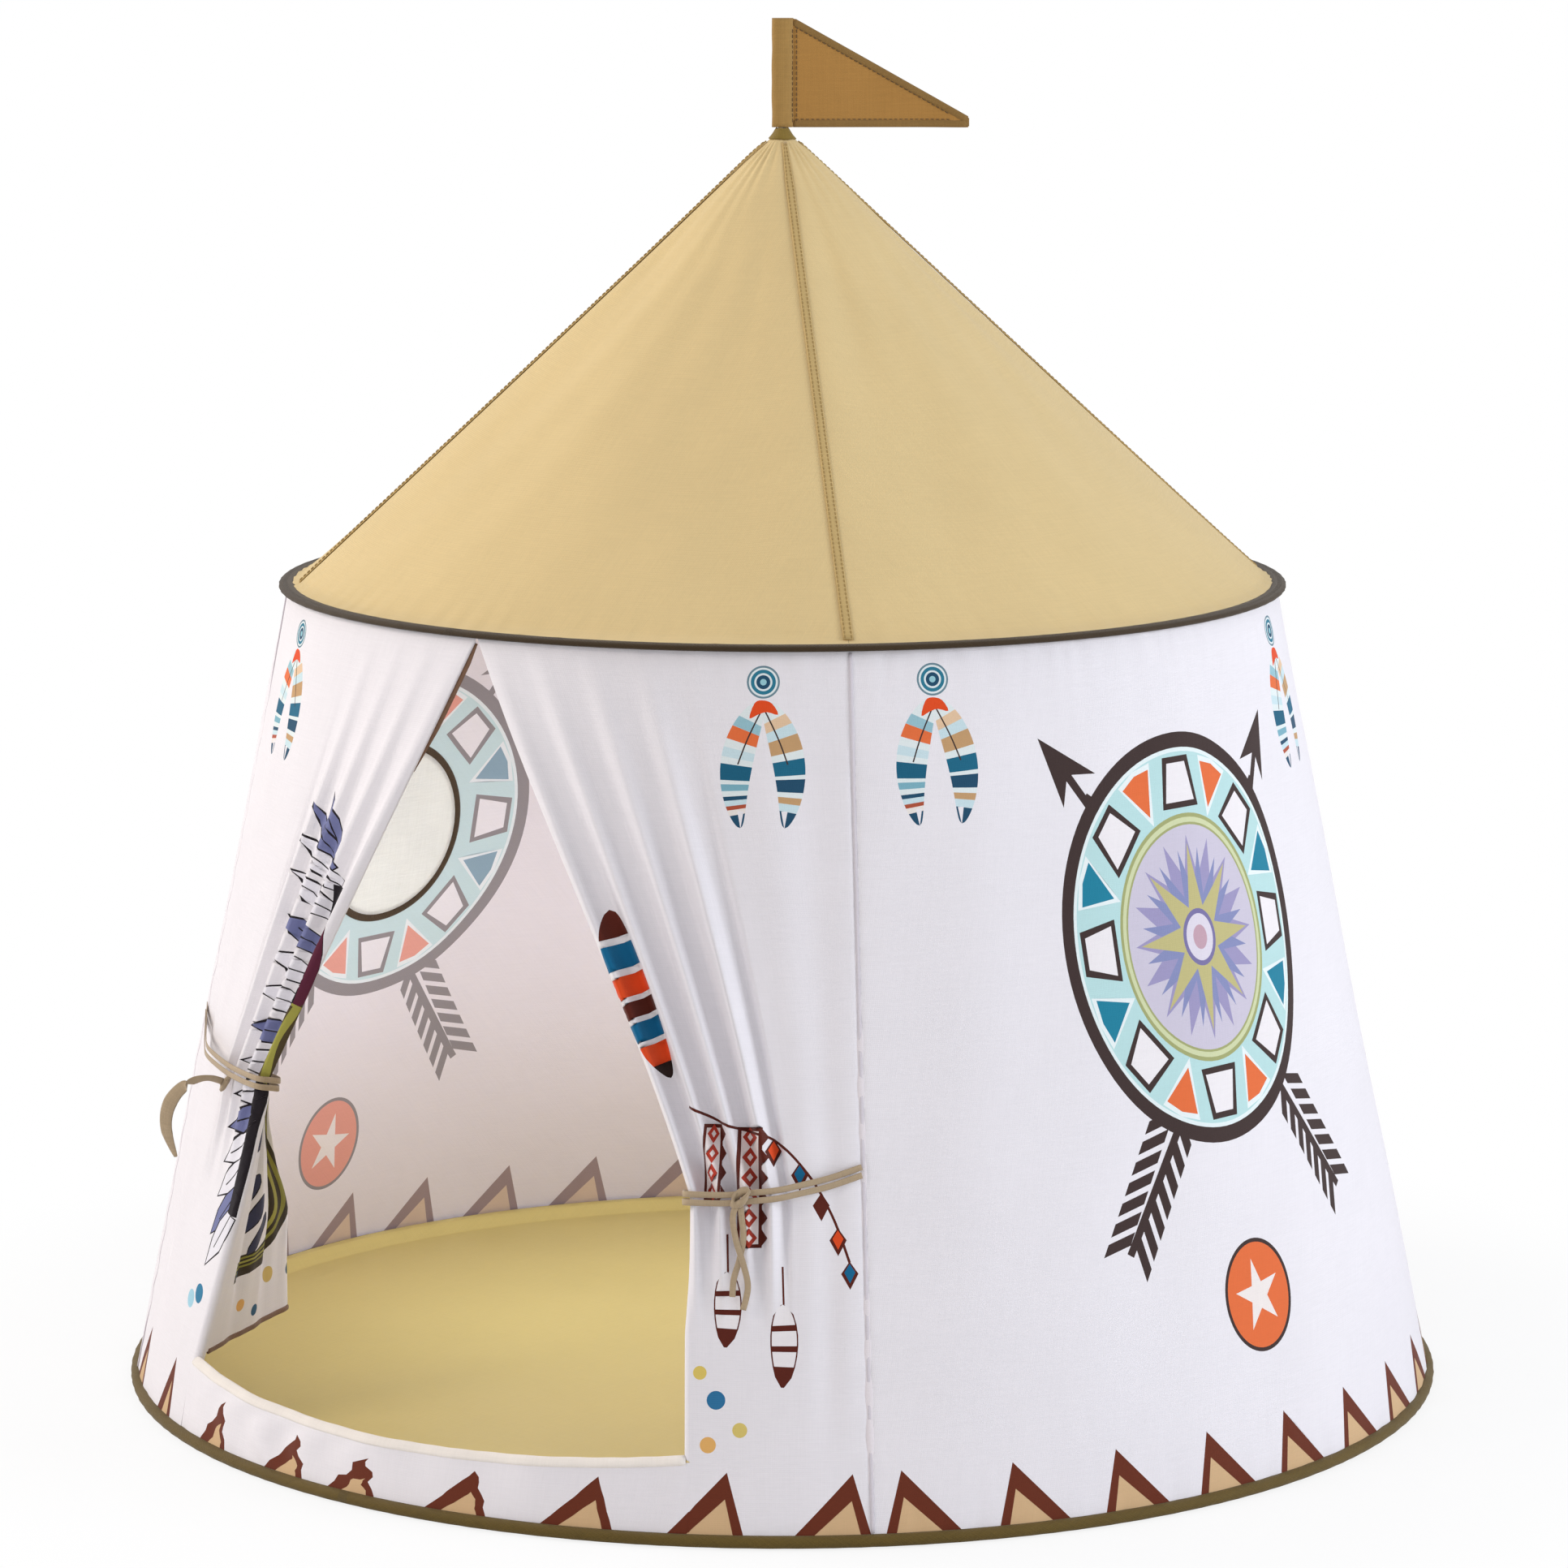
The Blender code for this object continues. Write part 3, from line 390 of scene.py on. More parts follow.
# Frame: spring-wire hoops, glass-fibre poles in two sections, plated ferrules and nylon fittings.
# The parts are bought in; the wire is drawn, the rod pultruded and the fittings injection moulded.
def finish_of(name, colour, metallic, roughness, grain, stretch, depth):
    """A hard finish with a fine grain: `grain` is its spacing in metres, drawn out by `stretch`."""
    made = blank(name)
    tree = made.node_tree
    place = add(tree, "TexCoord").outputs["Object"]
    drawn = add(tree, "VectorMath", {0: place, 1: stretch}, operation="MULTIPLY").outputs[0]
    noise = add(tree, "TexNoise", {"Vector": drawn, "Scale": 1 / grain, "Detail": 3.0}).outputs["Fac"]
    rough = add(tree, "MapRange", {"Value": noise, "To Min": roughness * 0.8, "To Max": roughness * 1.2}).outputs[0]
    tone = add(tree, "MapRange", {"Value": noise, "To Min": 0.88, "To Max": 1.0}).outputs[0]
    base = add(tree, "RGB").outputs[0]
    base.default_value = linear(colour)
    shade = add(tree, "Mix", {0: 1.0, 6: base, 7: tone}, data_type="RGBA", blend_type="MULTIPLY").outputs[2]
    bump = add(tree, "Bump", {"Height": noise, "Strength": 0.4, "Distance": depth}).outputs[0]
    face = add(tree, "BsdfPrincipled", {"Base Color": shade, "Metallic": metallic, "Roughness": rough,
                                        "Normal": bump})
    add(tree, "OutputMaterial", {"Surface": face.outputs[0]})
    return made


# Drawn wire shines along its length, and plated tube is brighter. Pultruded rod looks pale and fibrous,
# and moulded nylon is dull, with a fine grain from its mould.
FRAME_FINISHES = {
    ("base_hoop", "eave_hoop"): finish_of("drawn spring steel wire", "#8F9294", 1.0, 0.32, 0.002, (1, 1, 4), 2e-5),
    ("base_hoop_ferrule", "eave_hoop_ferrule", "wall_pole_ferrule_"):
        finish_of("nickel-plated steel tube, crimped", "#B4B6B8", 1.0, 0.25, 0.004, (1, 1, 1), 1e-5),
    ("lower_wall_pole_", "upper_wall_pole_", "roof_pole_", "flag_mast"):
        finish_of("pultruded glass-fibre rod, white", "#E8E6DC", 0.0, 0.4, 0.0015, (6, 6, 0.3), 2e-5),
    ("pole_foot_", "eave_elbow_", "apex_hub"):
        finish_of("nylon 6, injection moulded, charcoal", "#3A3A3C", 0.0, 0.5, 0.0012, (1, 1, 1), 4e-5),
}
for names, finish in FRAME_FINISHES.items():
    for node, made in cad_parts.items():
        if any(node == name or (name.endswith("_") and node.startswith(name)) for name in names):
            made.data.materials.clear()
            made.data.materials.append(finish)

# Wall cloth: four panels of white polyester cotton, printed on the outer face before sewing.
# They hang taut from the eave hoop to the base hoop, and the print shows pale on the inner face.
WALL_FOOT_RADIUS = 0.573
WALL_HEAD_RADIUS = 0.4324
WALL_BASE = 0.014
WALL_TOP = 0.6979
WALL_FOOT = 0.0106
WALL_HEAD = 0.7000
LEAN = math.atan2(WALL_FOOT_RADIUS - WALL_HEAD_RADIUS, WALL_TOP - WALL_BASE)
FLAT_RADIUS = 0.5
SEAM = 45.0
# The cloth lies in the middle of its solid, which is 1 mm thick.
HALF_SOLID = 0.0005
INK_SEEN_INSIDE = 0.66
WHITE = "#F1EEF2"
INNER_WHITE = "#EDE6E9"
PLATE_WHITE = "#F4F0F2"
FEATHER_WHITE = "#E7F0F0"
DARK_BROWN = "#40312F"
RUST_BROWN = "#6B2F1B"
BEIGE = "#D9B78C"
ORANGE = "#EA7440"
RED = "#E8501F"
TEAL = "#1C84A0"
NAVY = "#1F4E6B"
AQUA = "#BFE3E3"
PALE_BLUE = "#CFE6EC"
TAN = "#C9A173"


def wall_radius(height):
    """The wall's outer radius at a height."""
    return WALL_FOOT_RADIUS - (height - WALL_BASE) * math.tan(LEAN)


def wall_place(heading, height, out=0.0):
    """Points of the wall at headings in degrees from the middle of the door, a distance out of it."""
    radius = wall_radius(height) - HALF_SOLID / math.cos(LEAN) + out * math.cos(LEAN)
    turn = np.radians(heading)
    return np.stack([radius * np.sin(turn), -radius * np.cos(turn), height + out * math.sin(LEAN)], axis=1)


def at_wall(heading, height, out=0.0):
    """One point of the wall."""
    return wall_place(np.array([heading]), np.array([height]), np.array([out]))[0]


def wall_relief(heading, height):
    """How the taut cloth stands off its cone: puckers by the seams and tapes, and soft waves between."""
    turn = np.radians(heading)
    from_seam = np.abs((heading - SEAM + 45) % 90 - 45)
    from_seam = np.radians(from_seam) * wall_radius(height)
    top, foot = WALL_HEAD - height, height - WALL_FOOT
    clear = np.clip((top - 0.055) / 0.05, 0, 1) * np.clip((foot - 0.02) / 0.04, 0, 1)
    relief = -0.0012 * clear * np.exp(-(from_seam / 0.0032) ** 2)
    relief += 0.0005 * clear * np.exp(-from_seam / 0.022) * np.sin(height * 2 * math.pi / 0.034 + 2 * np.sin(turn * 3))
    ripples = np.sin(turn * 118 + 1.7 * np.sin(turn * 21)) + 0.6 * np.sin(turn * 63 + 0.8)
    relief += 0.0004 * (np.exp(-top / 0.030) + np.exp(-foot / 0.030)) * ripples
    slack = np.clip(top / 0.1, 0, 1) * np.clip(foot / 0.1, 0, 1)
    relief += 0.0011 * slack * (np.sin(turn * 13 + 3 * height) + 0.6 * np.sin(turn * 29 - 7 * height + 1)
                                + 0.5 * np.sin(19 * height + 5 * turn))
    return relief


def to_flat(heading, height):
    """A heading and height as a point of the flat cut."""
    return np.stack([np.radians(heading) * FLAT_RADIUS, np.asarray(height, float)], axis=-1)


def panel_place(flat):
    """Points of the taut wall from its flat cut."""
    heading = np.degrees(flat[:, 0] / FLAT_RADIUS)
    return wall_place(heading, flat[:, 1], wall_relief(heading, flat[:, 1]))


def panel_lengths(flat):
    """Real lengths along the cloth, for its weave."""
    return np.stack([flat[:, 0] / FLAT_RADIUS * wall_radius(flat[:, 1]), flat[:, 1] / math.cos(LEAN)], axis=1)


def closed_line(corners, steps):
    """An outline through corners, with points along each side."""
    corners = np.asarray(corners, float)
    return np.concatenate([np.linspace(a, b, steps, endpoint=False)
                           for a, b in zip(corners, np.roll(corners, -1, axis=0))])


def within(points, outline):
    """Which points lie inside an outline."""
    inside = np.zeros(len(points), bool)
    low, high = outline.min(axis=0), outline.max(axis=0)
    near = np.nonzero(np.all((points >= low) & (points <= high), axis=1))[0]
    if not len(near):
        return inside
    x, y = points[near, 0], points[near, 1]
    hit = np.zeros(len(near), bool)
    for (x0, y0), (x1, y1) in zip(outline, np.roll(outline, -1, axis=0)):
        if y0 != y1:
            hit ^= ((y0 > y) != (y1 > y)) & (x < (x1 - x0) * (y - y0) / (y1 - y0) + x0)
    inside[near] = hit
    return inside


def printed(name, outline, prints, place, lengths, spacing, holes=(), margin=()):
    """Printed cloth cut to an outline: the prints are (colour, shape) pairs, each over the last."""
    outline = np.asarray(outline, float)
    low, high = outline.min(axis=0), outline.max(axis=0)
    wide, tall = (np.maximum(2, np.round((high - low) / spacing)) + 1).astype(int)
    xs = np.unique(np.concatenate([np.linspace(low[0], high[0], wide)] + [[m] for m in margin]))
    ys = np.linspace(low[1], high[1], tall)
    points = np.array([(x, y) for x in xs for y in ys])
    shapes = [outline] + [np.asarray(h, float) for h in holes]
    shapes += [np.asarray(shape, float) for _, shape in prints]
    keep = within(points, outline)
    for hole in holes:
        keep &= ~within(points, np.asarray(hole, float))
    verts = [Vector(p) for p in points[keep]]
    edges = []
    for shape in shapes:
        first = len(verts)
        verts += [Vector(p) for p in shape]
        edges += [(first + i, first + (i + 1) % len(shape)) for i in range(len(shape))]
    verts, _, faces, _, _, _ = delaunay_2d_cdt(verts, edges, [], 0, 2e-5, False)
    verts = np.array([tuple(v) for v in verts])
    faces = np.array([f for f in faces if len(f) == 3])
    a, b, c = (verts[faces[:, i]] for i in range(3))
    area = (b[:, 0] - a[:, 0]) * (c[:, 1] - a[:, 1]) - (c[:, 0] - a[:, 0]) * (b[:, 1] - a[:, 1])
    faces[area < 0] = faces[area < 0][:, ::-1]
    centre = (a + b + c) / 3
    keep = within(centre, outline) & (np.abs(area) > 1e-11)
    for hole in holes:
        keep &= ~within(centre, np.asarray(hole, float))
    faces, centre = faces[keep], centre[keep]
    used, index = np.unique(faces, return_inverse=True)
    verts, faces = verts[used], index.reshape(faces.shape)
    outer = np.tile(linear(WHITE)[:3], (len(faces), 1))
    for colour, shape in prints:
        outer[within(centre, np.asarray(shape, float))] = linear(colour)[:3]
    # Dye that shows through to the inner face is about a third weaker.
    seen = outer * INK_SEEN_INSIDE + np.array(linear(INNER_WHITE)[:3]) * (1 - INK_SEEN_INSIDE)
    plain = np.all(np.isclose(outer, linear(WHITE)[:3]), axis=1)
    seen[plain] = linear(INNER_WHITE)[:3]
    faces = [tuple(int(i) for i in f) for f in faces]
    return cloth(name, verts, faces, place, printed_cotton, lengths, outer, seen)


# A dull, soft white that lets a little light through. The printed pigment lies flat in the weave.
printed_cotton = woven("polyester cotton, plain weave, pigment printed", slub=0.045, roughness=0.9, sheen=0.1,
                       through=0.10)


def curve(points, steps=8, closed=True):
    """A smooth line through points."""
    points = np.asarray(points, float)
    count = len(points)
    spans = count if closed else count - 1
    made = []
    for i in range(spans):
        if closed:
            p0, p1, p2, p3 = (points[(i + k - 1) % count] for k in range(4))
        else:
            p0, p1, p2, p3 = (points[min(max(i + k - 1, 0), count - 1)] for k in range(4))
        for s in np.arange(steps) / steps:
            made.append(0.5 * (2 * p1 + (p2 - p0) * s + (2 * p0 - 5 * p1 + 4 * p2 - p3) * s * s
                               + (3 * p1 - p0 - 3 * p2 + p3) * s ** 3))
    if not closed:
        made.append(points[-1])
    return np.array(made)


def disc(radius, tall=None, centre=(0, 0), steps=56):
    """A round or oval outline."""
    turn = np.linspace(0, 2 * math.pi, steps, endpoint=False)
    return np.stack([centre[0] + radius * np.cos(turn), centre[1] + (tall or radius) * np.sin(turn)], axis=1)


def on_wall(prints, heading, height, size=1.0):
    """Moves prints drawn round their own middle, in metres, to a place on the flat cut."""
    moved = []
    for colour, shape in prints:
        x, y = np.asarray(shape, float).T * size
        y = y * math.cos(LEAN) + height
        moved.append((colour, to_flat(heading + np.degrees(x / wall_radius(y)), y)))
    return moved


TOOTH_LEAN = 0.55


def saw_tooth(heading, height, width, lean):
    """One tooth of the border: a rust outline with a beige heart, leaning to one side."""
    foot = WALL_FOOT - 0.004
    top = WALL_FOOT + height
    reach, thick, thin = (math.degrees(size / wall_radius(WALL_FOOT)) for size in (width / 2, 0.0150, 0.0085))
    tip = heading + lean * reach * TOOTH_LEAN
    outer = [(heading - reach, foot), (tip, top), (heading + reach, foot)]
    before, after = (thick, thin) if lean > 0 else (thin, thick)
    inner = [(heading - reach + before, foot), (tip - lean * thin * 0.15, top - 0.021),
             (heading + reach - after, foot)]
    return [(colour, np.array([to_flat(h, z) for h, z in shape]))
            for colour, shape in ((RUST_BROWN, outer), (BEIGE, inner))]


def feather(root, tip, bend, width, bands, outline=None):
    """A feather along a bent quill: bands are (end share, colour), with an outline under them."""
    root, tip = np.asarray(root, float), np.asarray(tip, float)
    way = tip - root
    side = np.array([-way[1], way[0]]) / np.linalg.norm(way)
    middle = (root + tip) / 2 + side * bend

    def spine(t):
        return ((1 - t) ** 2)[:, None] * root + (2 * t * (1 - t))[:, None] * middle + (t ** 2)[:, None] * tip

    def half_width(t):
        return width / 2 * np.clip(np.sin(np.pi * np.clip(t, 0, 1) ** 0.85), 0, 1) ** 0.55

    def strip(start, end, grow=0.0):
        t = np.linspace(start, end, 9)
        line = spine(t)
        slope = np.gradient(line, axis=0)
        slope /= np.linalg.norm(slope, axis=1, keepdims=True)
        across = np.stack([-slope[:, 1], slope[:, 0]], axis=1)
        reach = (half_width(t) + grow)[:, None]
        return np.concatenate([line + across * reach, (line - across * reach)[::-1]])

    prints = [(outline, strip(0.0, 1.0, 0.0012))] if outline else []
    start = 0.0
    for end, colour in bands:
        prints.append((colour, strip(start, end)))
        start = end
    return prints


def line(points, thick, colour):
    """A drawn line of even thickness."""
    points = np.asarray(points, float)
    way = np.gradient(points, axis=0)
    way /= np.linalg.norm(way, axis=1, keepdims=True)
    across = np.stack([-way[:, 1], way[:, 0]], axis=1) * thick / 2
    return (colour, np.concatenate([points + across, (points - across)[::-1]]))


FEATHER_BANDS = [
    [(0.16, FEATHER_WHITE), (0.24, "#9CC7D2"), (0.34, ORANGE), (0.40, FEATHER_WHITE), (0.47, PALE_BLUE),
     (0.52, FEATHER_WHITE), (0.64, "#17617F"), (0.67, FEATHER_WHITE), (0.72, "#7FB4C4"), (0.76, FEATHER_WHITE),
     (0.79, NAVY), (0.83, PALE_BLUE), (0.86, "#B4553B"), (0.90, "#F0EAE4"), (1.0, NAVY)],
    [(0.14, FEATHER_WHITE), (0.22, "#E9C9A6"), (0.30, PALE_BLUE), (0.42, TAN), (0.48, FEATHER_WHITE),
     (0.60, "#1A6A88"), (0.63, FEATHER_WHITE), (0.73, NAVY), (0.77, FEATHER_WHITE), (0.82, TAN), (0.88, PALE_BLUE),
     (1.0, NAVY)],
]


def feather_pair():
    """A rosette of rings with a knot and two feathers hanging from it."""
    prints = [("#6F8D99", disc(0.0132)), ("#E9F1F2", disc(0.0116)), ("#2C7C95", disc(0.0100)),
              ("#E3EEF0", disc(0.0072)), (NAVY, disc(0.0056)), ("#9BD0DA", disc(0.0026))]
    for side, bands in zip((-1, 1), FEATHER_BANDS):
        prints += feather((side * 0.0015, -0.016), (side * 0.0175, -0.117), side * 0.023, 0.026, bands)
        quill = curve([(0, -0.020), (side * 0.012, -0.045), (side * 0.020, -0.066)], 6, False)
        prints.append(line(quill, 0.0012, DARK_BROWN))
        notch = np.array([(0, 0), (0.0025, 0.014), (-0.0025, 0.014)]) + (side * 0.0175, -0.1175)
        prints.append((WHITE, notch))
    knot = curve([(-0.007, -0.017), (-0.001, -0.0145), (0.007, -0.017), (0.012, -0.026), (0.003, -0.024),
                  (-0.004, -0.026), (-0.011, -0.029)], 3)
    prints.append((RED, knot))
    return prints


def star_disc():
    """A white five-point star on an orange disc with a dark rim."""
    turn = np.radians(90 + 8 + np.arange(10) * 36)
    away = np.where(np.arange(10) % 2 == 0, 0.031, 0.0115)
    star = np.stack([away * np.cos(turn) * 0.9, away * np.sin(turn)], axis=1)
    return [(DARK_BROWN, disc(0.041, 0.047)), (ORANGE, disc(0.0378, 0.0437)), ("#F6EEEA", star)]


def arrow(tail, tip):
    """A long arrow with a barbed head and chevron fletching."""
    tail, tip = np.asarray(tail, float), np.asarray(tip, float)
    length = np.linalg.norm(tip - tail)
    up = (tip - tail) / length
    right = np.array([up[1], -up[0]])
    half, barb = 0.0036, 0.0215
    shapes = [[(-half, 0), (half, 0), (half, length - 0.036), (-half, length - 0.036)],
              [(0, length), (-barb, length - 0.056), (-half, length - 0.042), (half, length - 0.042),
               (barb, length - 0.056)],
              [(-half, length - 0.062), (-0.0100, length - 0.084), (0.0100, length - 0.084), (half, length - 0.062)]]
    for k in range(7):
        low = k * 0.0185 - 0.004
        for side in (-1, 1):
            shapes.append([(side * x, low + y)
                           for x, y in ((0.0030, 0.024), (0.0235, 0.003), (0.0235, -0.009), (0.0030, 0.012))])
    return [(DARK_BROWN, tail + np.array(s)[:, :1] * right + np.array(s)[:, 1:] * up) for s in shapes]


def shield(wide, tall, hub=True):
    """A round shield of dark-edged plates and coloured wedges, with a compass star in its middle."""
    size = np.array([wide, tall])

    def discs(steps, *rows):
        return [(colour, disc(radius, steps=steps) * size) for colour, radius in rows]

    def ray(share, away, half_wide):
        turn = share * math.pi / 4 + math.pi / 2
        centre = np.array([math.cos(turn), math.sin(turn)]) * away
        return centre + np.array([-math.sin(turn), math.cos(turn)]) * half_wide

    prints = discs(96, (DARK_BROWN, 1.0), ("#EAF6F6", 0.925), (AQUA, 0.905))
    for k in range(8):
        for grow, colour in ((0.018, DARK_BROWN), (-0.012, PLATE_WHITE)):
            plate = [ray(k, 0.865 + grow, -0.088 - grow), ray(k, 0.865 + grow, 0.088 + grow),
                     ray(k, 0.650 - grow, 0.132 + grow), ray(k, 0.650 - grow, -0.132 - grow)]
            prints.append((colour, np.array(plate) * size))
        wedge_colour = ORANGE if k in (0, 3, 4, 7) else TEAL
        for grow, colour in ((0.020, "#EEF7F7"), (-0.004, wedge_colour)):
            wedge = [ray(k + 0.5, 0.865 + grow, -0.118 - grow), ray(k + 0.5, 0.885 + grow, 0.0),
                     ray(k + 0.5, 0.865 + grow, 0.118 + grow), ray(k + 0.5, 0.650 - grow * 2, 0.004)]
            prints.append((colour, np.array(wedge) * size))
    if hub:
        prints += discs(72, ("#A9AE76", 0.605), ("#D6DDB0", 0.585), ("#A9AE76", 0.560), ("#D3CDDD", 0.548))
        for count, long, short, turned, colour in ((16, 0.50, 0.30, 0.0, "#A39CC4"),
                                                   (16, 0.44, 0.22, 0.393, "#8C93BF"),
                                                   (8, 0.46, 0.16, 0.0, "#C7BF85")):
            turn = np.linspace(0, 2 * math.pi, 2 * count, endpoint=False) + turned / 2
            away = np.where(np.arange(2 * count) % 2 == 0, long, short)
            star = np.stack([away * np.sin(turn), away * np.cos(turn)], axis=1)
            prints.append((colour, star * size))
        prints += discs(32, ("#7F78A8", 0.140), ("#E4DEEA", 0.115)) + discs(24, ("#C9A6B4", 0.060))
    return prints


def crossed_arrows():
    """Two long arrows that cross behind the shield, round its middle."""
    ends = (((-0.122, -0.247), (0.142, 0.172)), ((0.160, -0.236), (-0.138, 0.178)))
    return [shape for tail, tip in ends for shape in arrow(tail, tip)]


TEETH_STEP = 9.4
TOOTH_HEIGHT = 0.0485
TOOTH_WIDTH = 0.066
# Tips of the front's teeth: heading, height, width, and how crumpled each is.
FRONT_TEETH = ((43.5, 0.047, 0.066, 0), (33.3, 0.0485, 0.066, 0), (22.7, 0.046, 0.066, 0.1),
               (11.9, 0.044, 0.062, 0.45), (1.2, 0.040, 0.056, 1.0), (-6.9, 0.043, 0.054, 0.9),
               (-17.8, 0.045, 0.048, 0.7), (-29.2, 0.050, 0.040, 0), (-40.0, 0.050, 0.050, 0))


def teeth(first, last, lean, start):
    """The saw-tooth border between two headings."""
    made = []
    heading = start
    while first + 2.2 < heading < last - 2.2:
        made += saw_tooth(heading, TOOTH_HEIGHT, TOOTH_WIDTH, lean)
        heading += TEETH_STEP
    return made


def front_teeth():
    """The border across the front, crumpled where the cloth is slack below the door."""
    made = []
    for tip, height, width, crumpled in FRONT_TEETH:
        reach = math.degrees(width / 2 / wall_radius(WALL_FOOT))
        for colour, shape in saw_tooth(tip - TOOTH_LEAN * reach, height, width, 1):
            shape = closed_line(shape, 8)
            x, y = shape[:, 0].copy(), shape[:, 1].copy()
            free = crumpled * smooth((y - WALL_FOOT) / 0.012)
            shape[:, 0] += free * 0.0030 * np.sin(y * 300 + 9 * tip) + free * 0.0008 * np.sin(y * 900 + x * 500)
            shape[:, 1] += free * 0.0020 * np.sin(x * 420 + tip)
            made.append((colour, shape))
    return made


FEATHERS_HEIGHT = 0.676
SHIELD_HEIGHT = 0.450


def side_panel(name, first, centre, window):
    """The prints of one side panel: border, arrows, shield or ringed window, star and feathers."""
    prints = teeth(first, first + 90, 1 if name == "back" else -1, first + 4.3)
    height = WINDOW_HEIGHT if window else SHIELD_HEIGHT
    prints += on_wall(crossed_arrows(), centre, height)
    if window:
        prints += on_wall(shield(0.163, 0.163, hub=False), centre, height)
    else:
        prints += on_wall(shield(0.143, 0.170), centre, height)
    prints += on_wall(star_disc(), centre + (2.7 if window else 1.2), 0.117 if window else 0.156)
    for away in (-29.2, 26.6):
        if first + 3 < centre + away < first + 87:
            prints += on_wall(feather_pair(), centre + away, FEATHERS_HEIGHT)
    return prints


WINDOW_HEADING = 267.0
WINDOW_HEIGHT = 0.4225
WINDOW_RADIUS = 0.083
PANEL_SPACING = 0.009
# Columns of points close beside a seam, where the cloth puckers.
BESIDE_SEAM = [0.0012, 0.0024, 0.004, 0.006, 0.009, 0.013]
PANELS = {"right": (45.0, 83.0, False), "back": (135.0, 180.0, False), "left": (225.0, WINDOW_HEADING, True)}
hole = disc(WINDOW_RADIUS, steps=72)
window_hole = to_flat(WINDOW_HEADING + np.degrees(hole[:, 0] / wall_radius(WINDOW_HEIGHT)),
                      WINDOW_HEIGHT + hole[:, 1])
for name, (first, centre, window) in PANELS.items():
    low, high = first + 0.01, first + 89.99
    corners = to_flat(np.array([low, high, high, low]), np.array([WALL_FOOT, WALL_FOOT, WALL_HEAD, WALL_HEAD]))
    margin = [corners[0][0] + b for b in BESIDE_SEAM] + [corners[1][0] - b for b in BESIDE_SEAM]
    panel = printed(name + "_wall_cloth", closed_line(corners, 60), side_panel(name, first, centre, window),
                    panel_place, panel_lengths, PANEL_SPACING, [window_hole] if window else [], margin)
    fit(panel, name + "_wall")

# Window: a round hole with a net behind it, both bound with brown tape that is cut on the bias.
# A thin cream facing shows outside beside the tape, and the net is fine enough to look like pale cloth.
NET_STEPS = 24
NET_SAG = 0.0012
brown_tape = twill("polyester twill tape, dark brown", "#4B3A26")
# Unbleached cotton: dull, warm and a little uneven.
cream_cloth = woven("cotton facing, plain weave, cream", "#E6DCC6", slub=0.08, through=0.0)
# The net lets half of the light through, so it looks like thin pale cloth.
pale_net = woven("polyester net, warp knitted, off white", "#F4F4F0", thread=0.0022, slub=0.08, relief=0.0002,
                 through=0.5)


def by_window(x, y, out):
    """Points of the wall, waves and all, at lengths across and up from the window's middle."""
    heading = WINDOW_HEADING + np.degrees(x / wall_radius(WINDOW_HEIGHT))
    height = WINDOW_HEIGHT + y
    return wall_place(heading, height, wall_relief(heading, height) + out)


def window_band(name, radius, out, wide, thick, material, node=None):
    """A band sewn round the window."""
    turn = np.linspace(0, 2 * math.pi, 120, endpoint=False)
    path, wider = (by_window(r * np.cos(turn), r * np.sin(turn), out) for r in (radius, radius + 0.01))
    made = swept(name, path, wider - path, wide, thick, material, closed=True, pucker=0.04, pitch=0.011)
    return fit(made, node)


def net_place(flat):
    """Points of the net, which sags a little into the tent."""
    sag = NET_SAG * (1 - (flat ** 2).sum(axis=1) / WINDOW_RADIUS ** 2)
    return by_window(flat[:, 0], flat[:, 1], -CLOTH_THICKNESS - sag)


window_band("window_tape_round", WINDOW_RADIUS + 0.0005, 0.0, 0.0075, 0.0034, brown_tape, "window_binding")
window_band("window_facing", WINDOW_RADIUS - 0.0046, 0.0008, 0.0040, 0.0012, cream_cloth)
columns = np.linspace(-1, 1, NET_STEPS + 1)
flat = np.array([(x, y) for y in columns for x in columns])
# A square grid is drawn in to a round one.
far = np.maximum(np.abs(flat).max(axis=1), 1e-9) / np.maximum(np.linalg.norm(flat, axis=1), 1e-9)
flat *= (far * (WINDOW_RADIUS + 0.001))[:, None]
net = cloth("window_net", flat, grid(NET_STEPS, NET_STEPS), net_place, pale_net, lambda flat: flat)
fit(net, "window_screen")

# Door: the front panel is cut up its middle from a low sill, and each half is drawn back to a tie.
# Above the tie the cloth fans out in folds; below it the loose tail turns in and hangs by its fold.
SILL_HEIGHT = 0.066
FLAPS = {
    "left": {"side": -1, "slit": 2.3, "tie": -20.1, "sill": -25.4, "tie_height": 0.312, "bow_share": 0.0,
             "flat_share": 0.6, "turned_in": 130, "tail_width": 0.165, "fullness": 0.62},
    "right": {"side": 1, "slit": 2.8, "tie": 29.7, "sill": 30.3, "tie_height": 0.272, "bow_share": 0.4,
              "flat_share": 0.42, "turned_in": 125, "tail_width": 0.160, "fullness": 1.0},
}
FOLD_DEPTH = 0.009
FOLDS = 4
# Above the tie the edge has a small hem, and below it the cloth rolls inward on a wider curve.
HEM_RADIUS = 0.0015
HEM_TURN = math.pi
HEM_REACH = 0.0062
JAMB_RADIUS = 0.0050
JAMB_REACH = 0.0125
FLAP_WIDTH = 0.30
FLAP_SPACING = 0.0038


def hinge_ends(flap):
    """The lowest and highest point of the line on which a flap's tail hangs."""
    return at_wall(flap["sill"], SILL_HEIGHT), at_wall(flap["tie"], flap["tie_height"])


def fold_line(flap, height):
    """Points of that line at heights."""
    low, high = hinge_ends(flap)
    share = (np.asarray(height) - low[2]) / (high[2] - low[2])
    return low + (high - low) * share[:, None]


